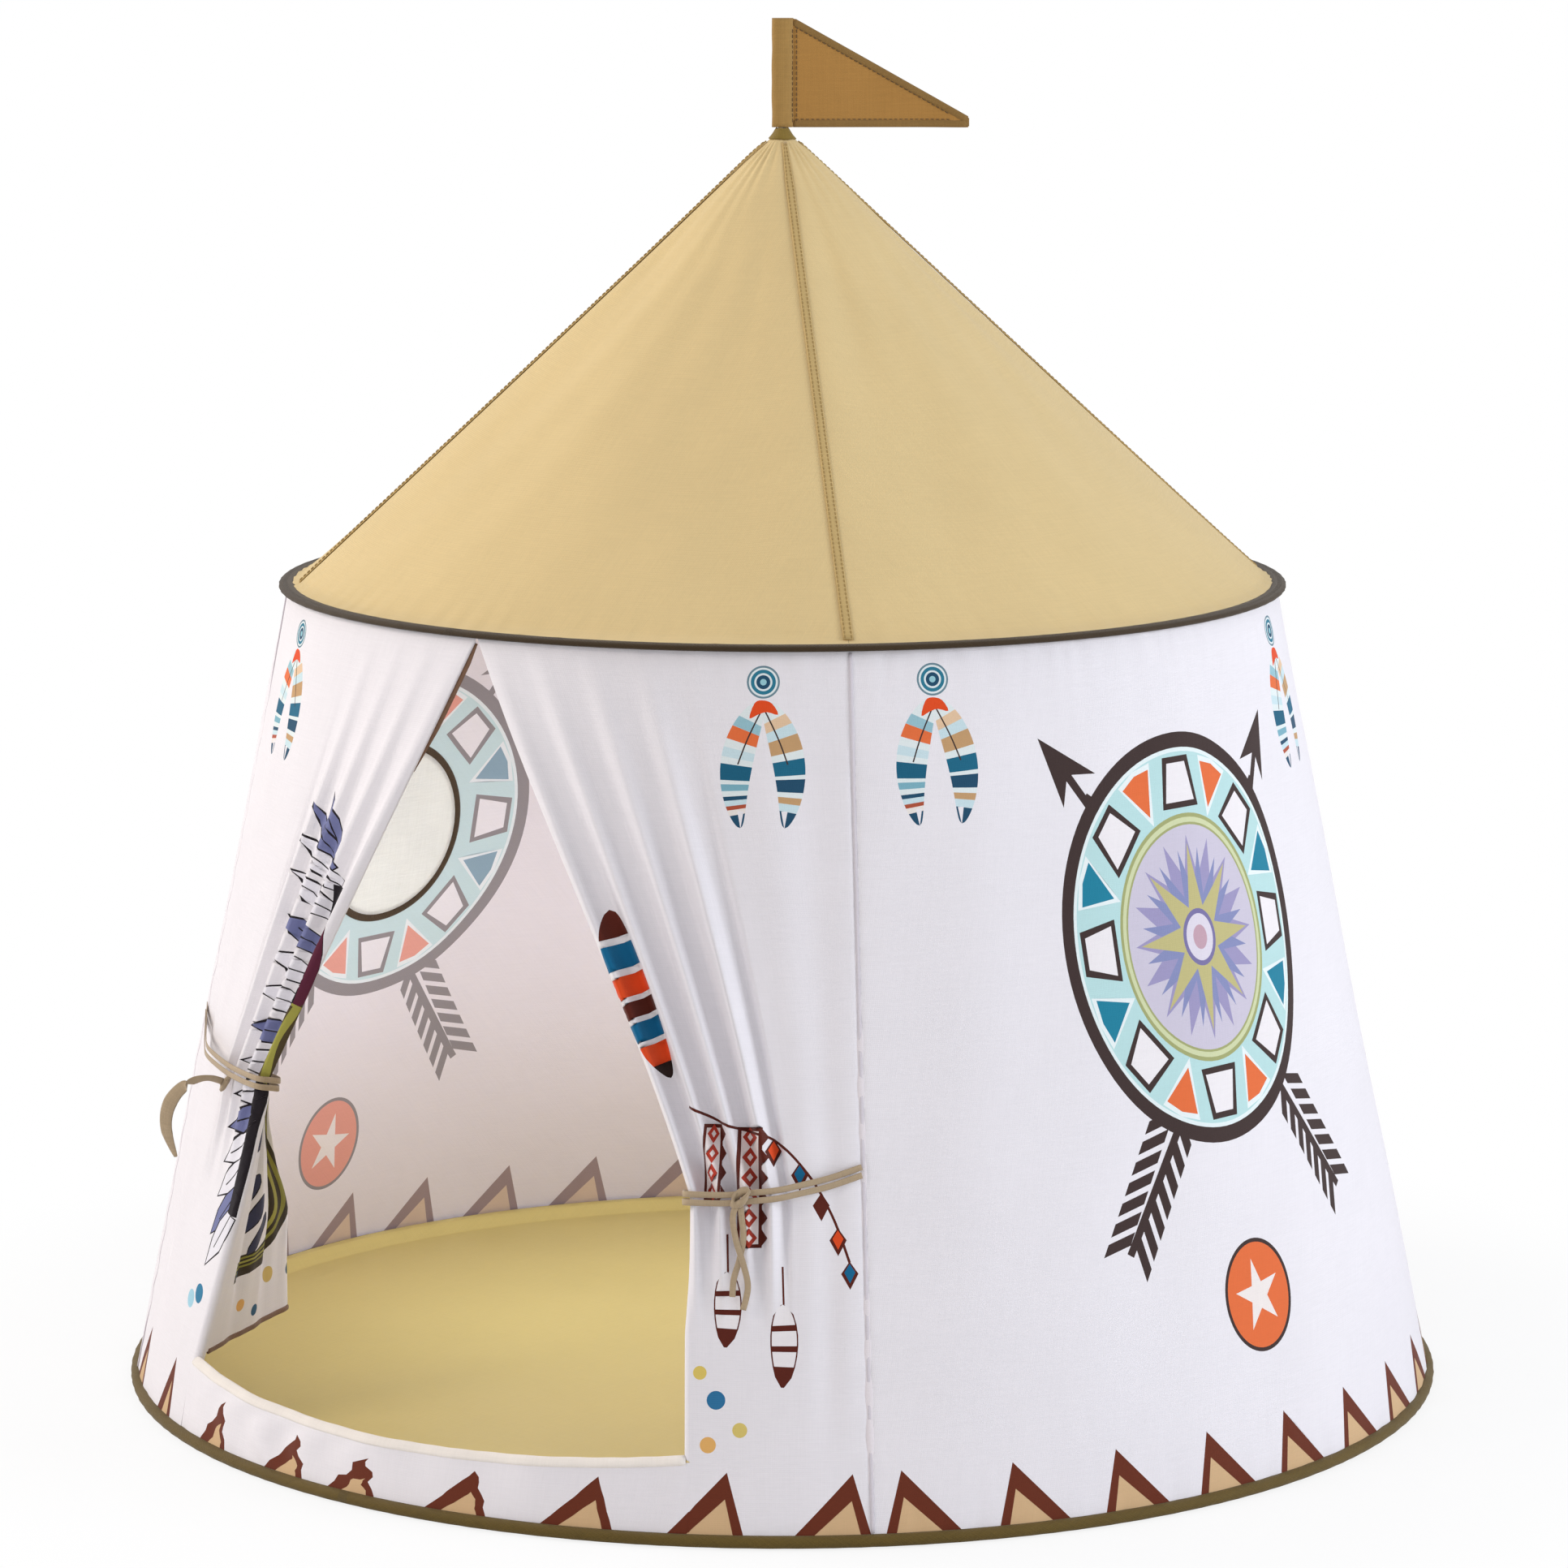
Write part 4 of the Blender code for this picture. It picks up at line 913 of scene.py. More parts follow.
def rolled(flap, height):
    """How far the hem has given way to the roll: 0 above the tie and 1 below it."""
    return smooth((flap["tie_height"] + 0.006 - np.asarray(height)) / 0.024)


def edge_heading(flap, height):
    """Heading of a flap's free edge, or of its fold line below the tie."""
    height = np.asarray(height, float)
    share = (WALL_HEAD - height) / (WALL_HEAD - flap["tie_height"])
    bowed = np.sin(np.clip(share, 0, 1) * math.pi / 2)
    share = share + (bowed - share) * flap["bow_share"]
    above = flap["slit"] + (flap["tie"] - flap["slit"]) * share
    hinge = fold_line(flap, height)
    below = np.degrees(np.arctan2(hinge[:, 0], -hinge[:, 1]))
    heading = np.where(height >= flap["tie_height"], above, below)
    return np.where(height <= SILL_HEIGHT, flap["sill"], heading)


def flap_folds(flap, share, height):
    """How far the gathered cloth stands out of the wall, at a share of the way from the seam to the edge."""
    across = np.clip((share - flap["flat_share"]) / (1 - flap["flat_share"]), 0, 1)
    above = (WALL_HEAD - height) / (WALL_HEAD - flap["tie_height"])
    below = np.clip(1 - (flap["tie_height"] - height) / 0.11, 0, 1) ** 1.5
    grown = np.where(height >= flap["tie_height"], np.clip(above, 0, 1) ** 0.9, below)
    turn = 2 * math.pi * FOLDS * across
    fold = np.sin(turn) + 0.22 * (np.sin(2 * turn + 0.9) - math.sin(0.9))
    ease = np.sin(math.pi * np.clip(share / flap["flat_share"], 0, 1)) ** 2
    slack = 0.0022 * ease * np.sin(17 * share + 6 * height) * smooth((height - 0.05) / 0.1)
    fuller = 0.92 + 0.55 * np.sin(math.pi * np.clip(above, 0, 1)) ** 2
    return -FOLD_DEPTH * flap["fullness"] * fuller * grown * fold + slack * smooth((WALL_HEAD - height) / 0.15)


def flap_surface(flap, share, height):
    """Points of the gathered cloth between its seam and its edge."""
    seam = flap["side"] * SEAM
    edge = edge_heading(flap, height)
    heading = seam + (edge - seam) * share
    out = flap_folds(flap, share, height) + wall_relief(heading, height) * (1 - share)
    points = wall_place(heading, height, out)
    hinge = fold_line(flap, height)
    hinge_heading = np.degrees(np.arctan2(hinge[:, 0], -hinge[:, 1]))
    pull = hinge - wall_place(hinge_heading, height)
    held = ((height > SILL_HEIGHT) & (height < flap["tie_height"]))[:, None]
    return points + np.where(held, pull * share[:, None], 0)


def turned_edge(flap, beyond, height):
    """Points past the edge, where the cloth is hemmed above the tie and rolls inward below it."""
    ones = np.ones_like(height)
    edge = flap_surface(flap, ones, height)
    back = flap_surface(flap, ones - 0.004, height)
    way = edge - back
    way[:, 2] = 0
    way /= np.linalg.norm(way, axis=1, keepdims=True)
    inward = np.stack([-way[:, 1], way[:, 0], np.zeros(len(way))], axis=1) * flap["side"] * -1
    low = rolled(flap, height)
    radius = HEM_RADIUS + (JAMB_RADIUS - HEM_RADIUS) * low
    most = HEM_TURN + (math.radians(flap["turned_in"]) - HEM_TURN) * low
    turn = np.minimum(beyond / radius, most)
    rest = np.maximum(beyond - radius * most, 0)
    ahead = radius * np.sin(turn) + rest * np.cos(most)
    aside = radius * (1 - np.cos(turn)) + rest * np.sin(most)
    return edge + way * ahead[:, None] + inward * aside[:, None]


def edge_reach(flap, height):
    """Width of the turned edge at a height."""
    return HEM_REACH + (JAMB_REACH - HEM_REACH) * rolled(flap, height)


def flap_place(flap):
    """Places a flap's flat cut, which runs from the seam at 0 to the edge at its width, and on round it."""
    def place(flat):
        across, height = -flap["side"] * flat[:, 0], flat[:, 1]
        points = flap_surface(flap, np.clip(across / FLAP_WIDTH, -0.1, 1), height)
        beyond = across - FLAP_WIDTH
        past = (beyond > 0) & (height > SILL_HEIGHT)
        if past.any():
            points[past] = turned_edge(flap, beyond[past], height[past])
        return points
    return place


def on_flap(flap, prints):
    """Moves prints from the wall as it looks when gathered to the flap's own flat cut."""
    moved = []
    for colour, shape in prints:
        shape = np.asarray(shape, float)
        finer = np.concatenate([np.linspace(a, b, max(1, int(np.linalg.norm(b - a) / 0.008)), endpoint=False)
                                for a, b in zip(shape, np.roll(shape, -1, axis=0))])
        heading, height = np.degrees(finer[:, 0] / FLAT_RADIUS), finer[:, 1]
        seam = flap["side"] * SEAM
        edge = edge_heading(flap, height)
        share = (heading - seam) / (edge - seam)
        past = np.radians(np.maximum(share - 1, 0) * np.abs(edge - seam)) * wall_radius(height)
        across = np.minimum(share, 1) * FLAP_WIDTH + past
        moved.append((colour, np.stack([-flap["side"] * across, height], axis=1)))
    return moved


def spike(root, tip, width, body, ink):
    """A pointed feather with a dark outline and a dark quill, between two points of the wall."""
    root, tip = np.asarray(root, float), np.asarray(tip, float)
    way = tip - root
    long = np.linalg.norm(way)
    way /= long
    side = np.array([-way[1], way[0]])
    outline = [(0.0, -0.30), (0.30, -0.50), (0.62, -0.42), (1.0, 0.0), (0.55, 0.50), (0.25, 0.44), (0.0, 0.28)]
    shape = np.array([root + way * long * a + side * width * b for a, b in outline])
    grown = np.array([root + way * (long * a * 1.07 - 0.001) + side * (width + 0.003) * b for a, b in outline])
    return [(ink, grown), (body, shape), line([root, root + way * long * 0.66], 0.0012, ink)]


FAN_MIDDLE = (-18.0, 0.420)


def from_fan(heading, height):
    """A place on the left flap in metres from the middle of its fan of feathers."""
    return (math.radians(heading - FAN_MIDDLE[0]) * wall_radius(height), (height - FAN_MIDDLE[1]) / math.cos(LEAN))


def left_flap_prints():
    """Pointed feathers that fan out from a dark cord, with a striped band beside it."""
    prints = front_teeth() + on_wall(feather_pair(), -31.5, FEATHERS_HEIGHT, size=0.92)
    slate, white, ink = "#787DA9", "#EFEDF4", "#221C22"
    cord = curve([(-12.9, 0.485), (-14.2, 0.430), (-16.6, 0.380), (-19.0, 0.330), (-21.0, 0.285), (-21.9, 0.240),
                  (-22.8, 0.195)], 4, False)
    fan = [((-14.0, 0.500), (-16.4, 0.557), 0.017, slate), ((-13.6, 0.497), (-19.4, 0.548), 0.016, slate),
           ((-13.3, 0.490), (-20.6, 0.520), 0.013, white)]
    for k, (heading, height) in enumerate(cord[::2]):
        share = k / (len(cord[::2]) - 1)
        reach, drop = 8.0 - 4.4 * share, -0.034 + 0.082 * share
        body = slate if k % 3 == 2 else white
        fan.append(((heading, height), (heading - reach, height - drop), 0.0200, body))
    drawn = []
    for root, tip, width, body in fan:
        drawn += spike(from_fan(*root), from_fan(*tip), width, body, ink)
    places = [from_fan(*point) for point in cord]
    drawn.append(line(places, 0.0125, ink))
    drawn.append(line(np.array(places[2:9]) + (0.003, 0), 0.0060, "#5C2138"))
    prints += on_wall(drawn, *FAN_MIDDLE)
    for k, colour in enumerate(("#50432A", "#8F8C3A", "#50432A", "#A7A24C", "#50432A")):
        band = curve([(-14.6 - k * 0.55, 0.382), (-17.0 - k * 0.5, 0.350), (-19.0 - k * 0.45, 0.312)], 5, False)
        prints.append(line([to_flat(h, z) for h, z in band], 0.0056, colour))
    for heading, height, radius, colour in ((-28.4, 0.113, 0.008, "#A7D5E6"), (-26.6, 0.121, 0.0085, "#2C7DA3")):
        prints += on_wall([(colour, disc(radius))], heading, height)
    return prints


def zigzag(heading, top, bottom, wide, steps, ground, mark, trim):
    """An upright band of diamonds between saw-tooth borders."""
    tall = top - bottom
    half = wide / 2
    inset = half * 0.72
    shapes = [(trim, [(-half, 0), (half, 0), (half, -tall), (-half, -tall)]),
              (ground, [(-inset, -0.003), (inset, -0.003), (inset, -tall + 0.003), (-inset, -tall + 0.003)])]
    for k in range(steps):
        y = -tall * (k + 0.5) / steps
        r = tall / steps / 2
        for colour, reach, rise in ((mark, half * 0.62, r), (ground, half * 0.25, r * 0.4)):
            shapes.append((colour, [(0, y + rise), (reach, y), (0, y - rise), (-reach, y)]))
        shapes.append((trim, [(half, y + r * 0.8), (half * 1.5, y), (half, y - r * 0.8)]))
    return on_wall(shapes, heading, top)


def right_flap_prints():
    """A striped feather, two bands of diamonds, a string of beads that crosses them, and two tassels."""
    prints = front_teeth() + on_wall(feather_pair(), 35.8, FEATHERS_HEIGHT)
    brown, blue = "#5B2013", "#0C6A96"
    stripes = [(0.16, brown), (0.20, PLATE_WHITE), (0.34, blue), (0.38, PLATE_WHITE), (0.50, RED),
               (0.53, PLATE_WHITE), (0.62, brown), (0.65, PLATE_WHITE), (0.76, blue), (0.79, PLATE_WHITE),
               (0.91, RED), (1.0, "#2A1712")]
    prints += on_wall(feather((0, 0), (0.060, -0.132), -0.006, 0.029, stripes), 20.6, 0.494)
    prints += zigzag(31.6, 0.330, 0.268, 0.014, 4, "#F4E9E6", "#C23F2C", brown)
    prints += zigzag(34.9, 0.328, 0.232, 0.020, 6, "#F4E9E6", "#B03A28", brown)
    garland = curve([(29.4, 0.343), (33.0, 0.329), (37.0, 0.318), (40.0, 0.292), (42.2, 0.258), (43.6, 0.222)], 8,
                    False)
    prints.append(line([to_flat(h, z) for h, z in garland], 0.0020, brown))
    bead = np.array([(0, 0), (0.0055, -0.008), (0, -0.018), (-0.0055, -0.008)])
    for k, colour in zip(range(16, len(garland), 6), (RED, blue, brown, RED, blue)):
        rim, heart = bead * 1.25 + (0, 0.001), bead * (0.8, 0.86) - (0, 0.001)
        prints += on_wall([(brown, rim), (colour, heart)], *garland[k])
    for heading, top, long in ((33.0, 0.215, 0.060), (37.8, 0.190, 0.066)):
        prints += on_wall([line([(0, 0.030), (0.001, 0)], 0.0016, brown)], heading, top)
        bands = [(0.25, PLATE_WHITE), (0.32, brown), (0.5, PLATE_WHITE), (0.57, brown), (0.75, PLATE_WHITE),
                 (1.0, brown)]
        prints += on_wall(feather((0, 0), (0, -long), 0.003, 0.020, bands, brown), heading, top)
    for heading, height, colour, size in ((30.9, 0.136, "#E4CB6A", 0.0055), (32.3, 0.115, "#2F75A3", 0.0075),
                                          (34.3, 0.092, "#DDC873", 0.0060), (31.7, 0.080, "#E9B56B", 0.0065)):
        prints += on_wall([(colour, disc(size, steps=24))], heading, height)
    return prints


def flap_outline(flap):
    """Outline of a flap's cut: its seam, foot, sill, turned edge and head."""
    heights = np.concatenate([np.linspace(SILL_HEIGHT + 0.0005, flap["tie_height"] - 0.03, 50),
                              np.linspace(flap["tie_height"] - 0.028, flap["tie_height"] + 0.02, 24),
                              np.linspace(flap["tie_height"] + 0.024, WALL_HEAD, 90)])
    foot = np.linspace((0, WALL_FOOT), (FLAP_WIDTH, WALL_FOOT), 60, endpoint=False)
    rise = np.linspace((FLAP_WIDTH, WALL_FOOT), (FLAP_WIDTH, SILL_HEIGHT), 13)
    edge = np.stack([FLAP_WIDTH + edge_reach(flap, heights), heights], axis=1)
    head = np.linspace(edge[-1], (0, WALL_HEAD), 60, endpoint=False)
    down = np.linspace((0, WALL_HEAD), (0, WALL_FOOT), 90, endpoint=False)
    return np.concatenate([foot, rise, edge[:-1], head, down]) * (-flap["side"], 1)


flap_prints = {"left": left_flap_prints(), "right": right_flap_prints()}
turned_columns = [-0.0015, 0, 0.0009, 0.0018, 0.0028, 0.0038, 0.0048, 0.0075, 0.0100]
for name, flap in FLAPS.items():
    columns = BESIDE_SEAM + [FLAP_WIDTH + b for b in turned_columns]
    made = printed(name + "_flap_cloth", flap_outline(flap), on_flap(flap, flap_prints[name]), flap_place(flap),
                   lambda flat: flat, FLAP_SPACING, margin=[-flap["side"] * c for c in columns])
    fit(made, name + "_door_panel")

# Edge tape: a brown twill tape sewn behind the left half's hem, beside the top of the slit.
# Its edge stands past the hem there and shows as a dark line, until the cloth rolls over it.
EDGE_TAPE_POINTS = 50
hem_cloth = twill("polyester twill tape, brown", "#80604A", slub=0.2, roughness=0.75, sheen=0.15, relief=0.0002)
left = FLAPS["left"]
heights = np.linspace(0.6955, 0.588, EDGE_TAPE_POINTS)
behind_hem = turned_edge(left, np.full(EDGE_TAPE_POINTS, math.pi * HEM_RADIUS), heights)
edge, short_of_edge = (flap_surface(left, np.full(EDGE_TAPE_POINTS, share), heights) for share in (1.0, 0.996))
past_hem = edge - short_of_edge
past_hem /= np.linalg.norm(past_hem, axis=1, keepdims=True)
stands = np.interp(heights, [0.588, 0.625, 0.680, 0.6955], [-0.0010, 0.0026, 0.0030, 0.0010])
edge_tape = swept("left_edge_tape", behind_hem + past_hem * stands[:, None], past_hem, 0.0056, 0.0012, hem_cloth,
                  pucker=0.05)
fit(edge_tape)

# Door tails: the loose cloth of each half below its tie, cut in one with it and hemmed with the brown tape.
# Each hangs from the fold at the door's edge, in soft folds that gather towards the tie.
TAIL_TALL = 0.24
TAIL_POINTS = 60


def tail_frame(flap, rise):
    """The fold and the free edge of a tail, at shares of the way up from its hem to the tie."""
    side = flap["side"]
    hem = SILL_HEIGHT + 0.0075
    top = flap["tie_height"] - 0.010
    height = hem + (top - hem) * rise
    fold = turned_edge(flap, np.full_like(height, JAMB_REACH), height)
    turn = math.radians(flap["sill"] - side * flap["turned_in"])
    inward = np.array([-side * math.cos(turn), -side * math.sin(turn), 0])
    corner = fold_line(flap, np.array([hem]))[0] + inward * flap["tail_width"]
    drawn = smooth((rise - 0.45) / 0.55) * 0.93
    free = np.stack([np.full_like(rise, corner[0]), np.full_like(rise, corner[1]),
                     hem + (min(0.235, top) + 0.03 - hem) * rise], axis=1)
    return fold, free + (fold - free) * drawn[:, None]


def tail_place(flap):
    """Places a tail's flat cut, which has its fold at one side."""
    def place(flat):
        share = flat[:, 0] / flap["tail_width"]
        rise = flat[:, 1] / TAIL_TALL
        along = share if flap["side"] < 0 else 1 - share
        fold, free = tail_frame(flap, np.clip(rise, -0.02, 1.02))
        across = free - fold
        length = np.linalg.norm(across, axis=1, keepdims=True)
        out = np.cross(across, UP)
        out /= np.maximum(np.linalg.norm(out, axis=1, keepdims=True), 1e-9)
        turn = 2 * math.pi * along
        wave = np.sin(2.4 * turn + 0.5 * np.sin(3 * rise)) + 0.35 * (np.sin(5.3 * turn + 1) - math.sin(1))
        deep = 0.0052 * smooth(along / 0.15) * (0.20 + 0.80 * smooth(rise / 0.5))
        deep *= np.clip(length[:, 0] / 0.05, 0, 1)
        return fold + across * along[:, None] + out * (deep * wave)[:, None]
    return place


def tail_prints(name):
    """What shows of the print on a tail: dots, and on the left one the striped band's end."""
    dots = [(0.040, 0.066, 0.0095, "#1F5F8C"), (0.123, 0.047, 0.0085, "#D9BE74"), (0.163, 0.045, 0.0070, NAVY),
            (0.090, 0.018, 0.0060, "#2B5D80"), (0.060, 0.030, 0.0060, "#E9B56B")]
    if name == "right":
        wide = FLAPS[name]["tail_width"]
        return [(colour, disc(size, centre=(wide - x, y))) for x, y, size, colour in dots]
    prints = []
    for k, colour in enumerate(("#3A3020", "#8F8C3A", "#3A3020", "#A7A24C", "#3A3020", "#8F8C3A", "#3A3020")):
        band = curve([(0.060 + k * 0.008, 0.235), (0.100 + k * 0.009, 0.170), (0.112 + k * 0.007, 0.115),
                      (0.085 + k * 0.004, 0.083 - k * 0.0015), (0.026, 0.074 - k * 0.002)], 8, False)
        prints.append(line(band, 0.0085, colour))
    for k in range(6):
        x, y = 0.030 + 0.011 * k, 0.225 - 0.021 * k
        prints += feather((x, y), (x - 0.026, y - 0.040), 0.003, 0.013, [(1.0, "#3B3D58")], "#1C171C")
    return prints + [(colour, disc(size, centre=(x, y))) for x, y, size, colour in dots]


for name, flap in FLAPS.items():
    wide = flap["tail_width"]
    place = tail_place(flap)
    outline = closed_line([(0, 0), (wide, 0), (wide, TAIL_TALL), (0, TAIL_TALL)], 36)
    made = printed(name + "_tail_cloth", outline, tail_prints(name), place, lambda flat: flat, 0.0055)
    fold, free = tail_frame(flap, np.linspace(0, 1, 9))
    low, high = hinge_ends(flap)
    axis = (high - low) / np.linalg.norm(high - low)
    way = free[0] - fold[0]
    way -= axis * (way @ axis)
    way /= np.linalg.norm(way)
    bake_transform(made)
    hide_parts(name + "_door_tail")
    shares = np.linspace(0.02, 1, TAIL_POINTS)
    if flap["side"] > 0:
        shares = 1 - shares
    path = place(np.stack([shares * wide, np.zeros(TAIL_POINTS)], axis=1))
    tape = swept(name + "_tail_hem", path, np.tile(UP, (TAIL_POINTS, 1)), 0.0050, 0.0026, hem_cloth, pucker=0.06)
    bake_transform(tape)

# Sill: the strip of front wall left below the door, with a soft cream facing rolled over its edge.
# It sags between the door's corners, because only the cloth itself holds it up.
SILL_SAG = 0.013
SILL_START = FLAPS["left"]["sill"]
SILL_END = FLAPS["right"]["sill"]
SILL_POINTS = 120


def sill_top(heading):
    """Height of the sill's edge."""
    share = np.clip((heading - SILL_START) / (SILL_END - SILL_START), 0, 1)
    return SILL_HEIGHT - SILL_SAG * np.sin(math.pi * share) ** 0.8


def sill_place(flat):
    """Points of the slack sill from its flat cut."""
    heading, share = np.degrees(flat[:, 0] / FLAT_RADIUS), (flat[:, 1] - WALL_FOOT) / (SILL_HEIGHT - WALL_FOOT)
    height = WALL_FOOT + (sill_top(heading) - WALL_FOOT) * share
    turn = np.radians(heading)
    loose = smooth((heading - SILL_START) / 5) * smooth((SILL_END - heading) / 5)
    creased = np.exp(-((heading + 12) / 11) ** 2) * np.sin(math.pi * np.clip(share, 0, 1))
    out = loose * share * (0.0016 * np.sin(turn * 21 + 1) + 0.0010 * np.sin(turn * 47))
    out += loose * creased * 0.0022 * np.sin(turn * 64 + 2.2 * np.sin(share * 3))
    return wall_place(heading, height, out + wall_relief(heading, height) * (1 - loose))


corners = to_flat(np.array([SILL_START, SILL_END, SILL_END, SILL_START]),
                  np.array([WALL_FOOT, WALL_FOOT, SILL_HEIGHT, SILL_HEIGHT]))
sill = printed("sill_cloth", closed_line(corners, 56), front_teeth(), sill_place, panel_lengths, 0.0045)
fit(sill, "door_sill")
headings = np.linspace(SILL_START + 0.4, SILL_END - 0.4, SILL_POINTS)
sill_path = sill_place(to_flat(headings, np.full(SILL_POINTS, SILL_HEIGHT + 0.001)))
turn = np.radians(headings)
inset = np.stack([-np.sin(turn), np.cos(turn), np.full(SILL_POINTS, 0.35)], axis=1)
sill_path += inset * 0.0022
# Brushed cotton, softer and warmer than the printed cloth.
soft_facing = woven("cotton facing, plain weave, off white", "#F3ECE4", slub=0.06, through=0.05)
facing = swept("sill_facing", sill_path, inset + (0, 0, 0.6), 0.0092, 0.0050, soft_facing, pucker=0.16, pitch=0.031)
fit(facing)

# Ties: beige ribbons sewn into the wall seams. Each goes round the gathered flap and is knotted.
# The left one ends in a loop that droops outside; the right one's two ends hang down the flap.
# Ribbon is woven tight from bright yarn, so it has a soft shine.
ribbon_weave = woven("polyester ribbon, plain weave, beige", "#B9A384", thread=0.0012, slub=0.18, roughness=0.55,
                     sheen=0.2, relief=0.0002, through=0.05)
STRAND_WIDTH = 0.0052
STRAND_APART = 0.0064
TIE_RISE = 0.021
# How far a tie stands off the wall: where it touches the cloth, and where it goes round the folds.
TOUCH = 0.0036
FULL = FOLD_DEPTH + 0.0032
KNOT_SIZE = 0.0075
KNOT_POINTS = 60


def ribbon(name, keys, across, wide, node=None):
    """A length of ribbon along a smooth line through its key points, and that line."""
    path, sides = curve(keys, 10, False), curve(across, 10, False)
    made = swept(name, path, sides, wide, 0.0009, ribbon_weave, sides=8, pucker=0.05, square=0.6)
    return fit(made, node), path


for name, flap in FLAPS.items():
    height = flap["tie_height"]
    seam = flap["side"] * SEAM
    past = 1 + math.degrees(FULL / 2 / wall_radius(height)) / abs(flap["tie"] - seam)
    ways = [0.01, 0.20, 0.38, 0.50, 0.64, 0.8, 1.0, past, 1.0, 0.8, 0.6, 0.4]
    rises = [1, 0.62, 0.36, 0.2, 0.1, 0, 0, 0, 0, 0, 0, 0]
    outs = [TOUCH * 0.4, TOUCH, FULL * 0.75, FULL * 1.08, FULL * 1.08, FULL, FULL, 0, -FULL, -FULL, -FULL, -FULL]
    for strand, lift in enumerate((STRAND_APART / 2, -STRAND_APART / 2)):
        keys = [at_wall(seam + (flap["tie"] - seam) * w, height + TIE_RISE * r + lift, o)
                for w, r, o in zip(ways, rises, outs)]
        ribbon(f"{name}_tie_strand_{strand}", keys, [UP] * len(keys), STRAND_WIDTH,
               name + "_tie" if strand == 0 else None)


def knot(name, centre):
    """A small overhand knot of ribbon: a few turns wound over each other."""
    turn = np.linspace(0, 2 * math.pi * 2.2, KNOT_POINTS)
    x = np.cos(turn) * 0.8
    y = np.sin(turn) * 0.35 + 0.14 * np.sin(turn * 1.5)
    heading = math.atan2(centre[0], -centre[1])
    c, s = math.cos(heading), math.sin(heading)
    path = np.stack([x * c - y * s, x * s + y * c, np.sin(turn + 0.8) * 0.75], axis=1) * KNOT_SIZE + centre
    made = swept(name, path, np.tile((0.3, 0.2, 1.0), (KNOT_POINTS, 1)), KNOT_SIZE * 0.8, KNOT_SIZE * 0.34,
                 ribbon_weave, sides=8)
    fit(made)


def loose_end(name, keys, across, wide):
    """A hanging end of a tie."""
    made, path = ribbon(name, keys, across, wide)


knot("right_tie_knot", at_wall(34.2, 0.2735, FULL + 0.0035))
RIGHT_ENDS = {
    "right_tie_end_a": [(34.2, 0.2700, 0.016), (34.35, 0.258, 0.0160), (34.5, 0.243, 0.0140), (34.2, 0.226, 0.0110),
                        (33.7, 0.210, 0.0090), (33.6, 0.196, 0.0078)],
    "right_tie_end_b": [(34.0, 0.2700, 0.016), (33.6, 0.258, 0.0165), (33.9, 0.240, 0.0145), (34.5, 0.222, 0.0120),
                        (34.9, 0.204, 0.0090), (34.5, 0.186, 0.0074)],
}
for name, keys in RIGHT_ENDS.items():
    loose_end(name, [at_wall(*key) for key in keys], [(0.8, 0.6, 0.1)] * len(keys), 0.0050)

left_knot_at = at_wall(-26.6, 0.300, 0.0100)
knot("left_tie_knot", left_knot_at)
# The left end swings out past the flap. Its points are lengths along it, up, and out from the tent.
DROOP_TURN = math.radians(37.8)
along = np.array([math.cos(DROOP_TURN), math.sin(DROOP_TURN), 0])
outward = np.array([math.sin(DROOP_TURN), -math.cos(DROOP_TURN), 0])
DROOP = [(0.0, 0.0, 0.0), (-0.012, 0.007, 0.014), (-0.026, 0.005, 0.017), (-0.040, -0.006, 0.012),
         (-0.049, -0.022, 0.005), (-0.051, -0.042, -0.002), (-0.044, -0.066, -0.006)]
points = [left_knot_at + along * a + np.array(UP) * b + outward * c for a, b, c in DROOP]
faces_up = along * 0.5 + np.array([0, 0, 0.6]) + outward * 0.3
faces_out = along + outward * 0.4
bow_width = np.interp(np.linspace(0, 1, 61), [0, 0.25, 0.6, 0.85, 1], [0.0070, 0.0080, 0.0125, 0.0110, 0.0035])
loose_end("left_tie_end", points, [faces_up] * 3 + [faces_out] * 4, bow_width)

# Eave tape: a dark brown twill tape folded round the eave hoop, sewn to the wall and the roof.
# It stands a little proud of both, so it reads as a thin dark ring round the tent.
EAVE_RADIUS = 0.4394
EAVE_HEIGHT = 0.7016
EAVE_TAPE_LIFT = 0.0012
EAVE_TAPE_HEIGHT = 0.0056
EAVE_TAPE_DEPTH = 0.0148
EAVE_TAPE_STEPS = 300
eave_brown = twill("polyester twill tape, umber", "#3A290C", roughness=0.65)
ring = circle(EAVE_RADIUS - EAVE_TAPE_DEPTH / 2, EAVE_HEIGHT + EAVE_TAPE_LIFT, EAVE_TAPE_STEPS)
eave_tape = swept("eave_tape_round", ring, np.tile(UP, (EAVE_TAPE_STEPS, 1)), EAVE_TAPE_HEIGHT, EAVE_TAPE_DEPTH,
                  eave_brown, closed=True, sides=14, pucker=0.04, pitch=0.014)
fit(eave_tape, "eave_binding")

# Roof: four gores of sand-coloured cloth sewn edge to edge, drawn up taut to the hub.
# The seams are felled and stitched twice, the cloth sags between the poles and flares out at its foot.
ROOF_EDGE_RADIUS = 0.4229
ROOF_EDGE = 0.7067
ROOF_TIP_RADIUS = 0.0075
ROOF_TIP = 1.0900
PITCH = math.atan2(ROOF_TIP - ROOF_EDGE, ROOF_EDGE_RADIUS - ROOF_TIP_RADIUS)
SLOPE = math.hypot(ROOF_TIP - ROOF_EDGE, ROOF_EDGE_RADIUS - ROOF_TIP_RADIUS)
ROOF_COLUMNS = 56
ROOF_ROWS = 60
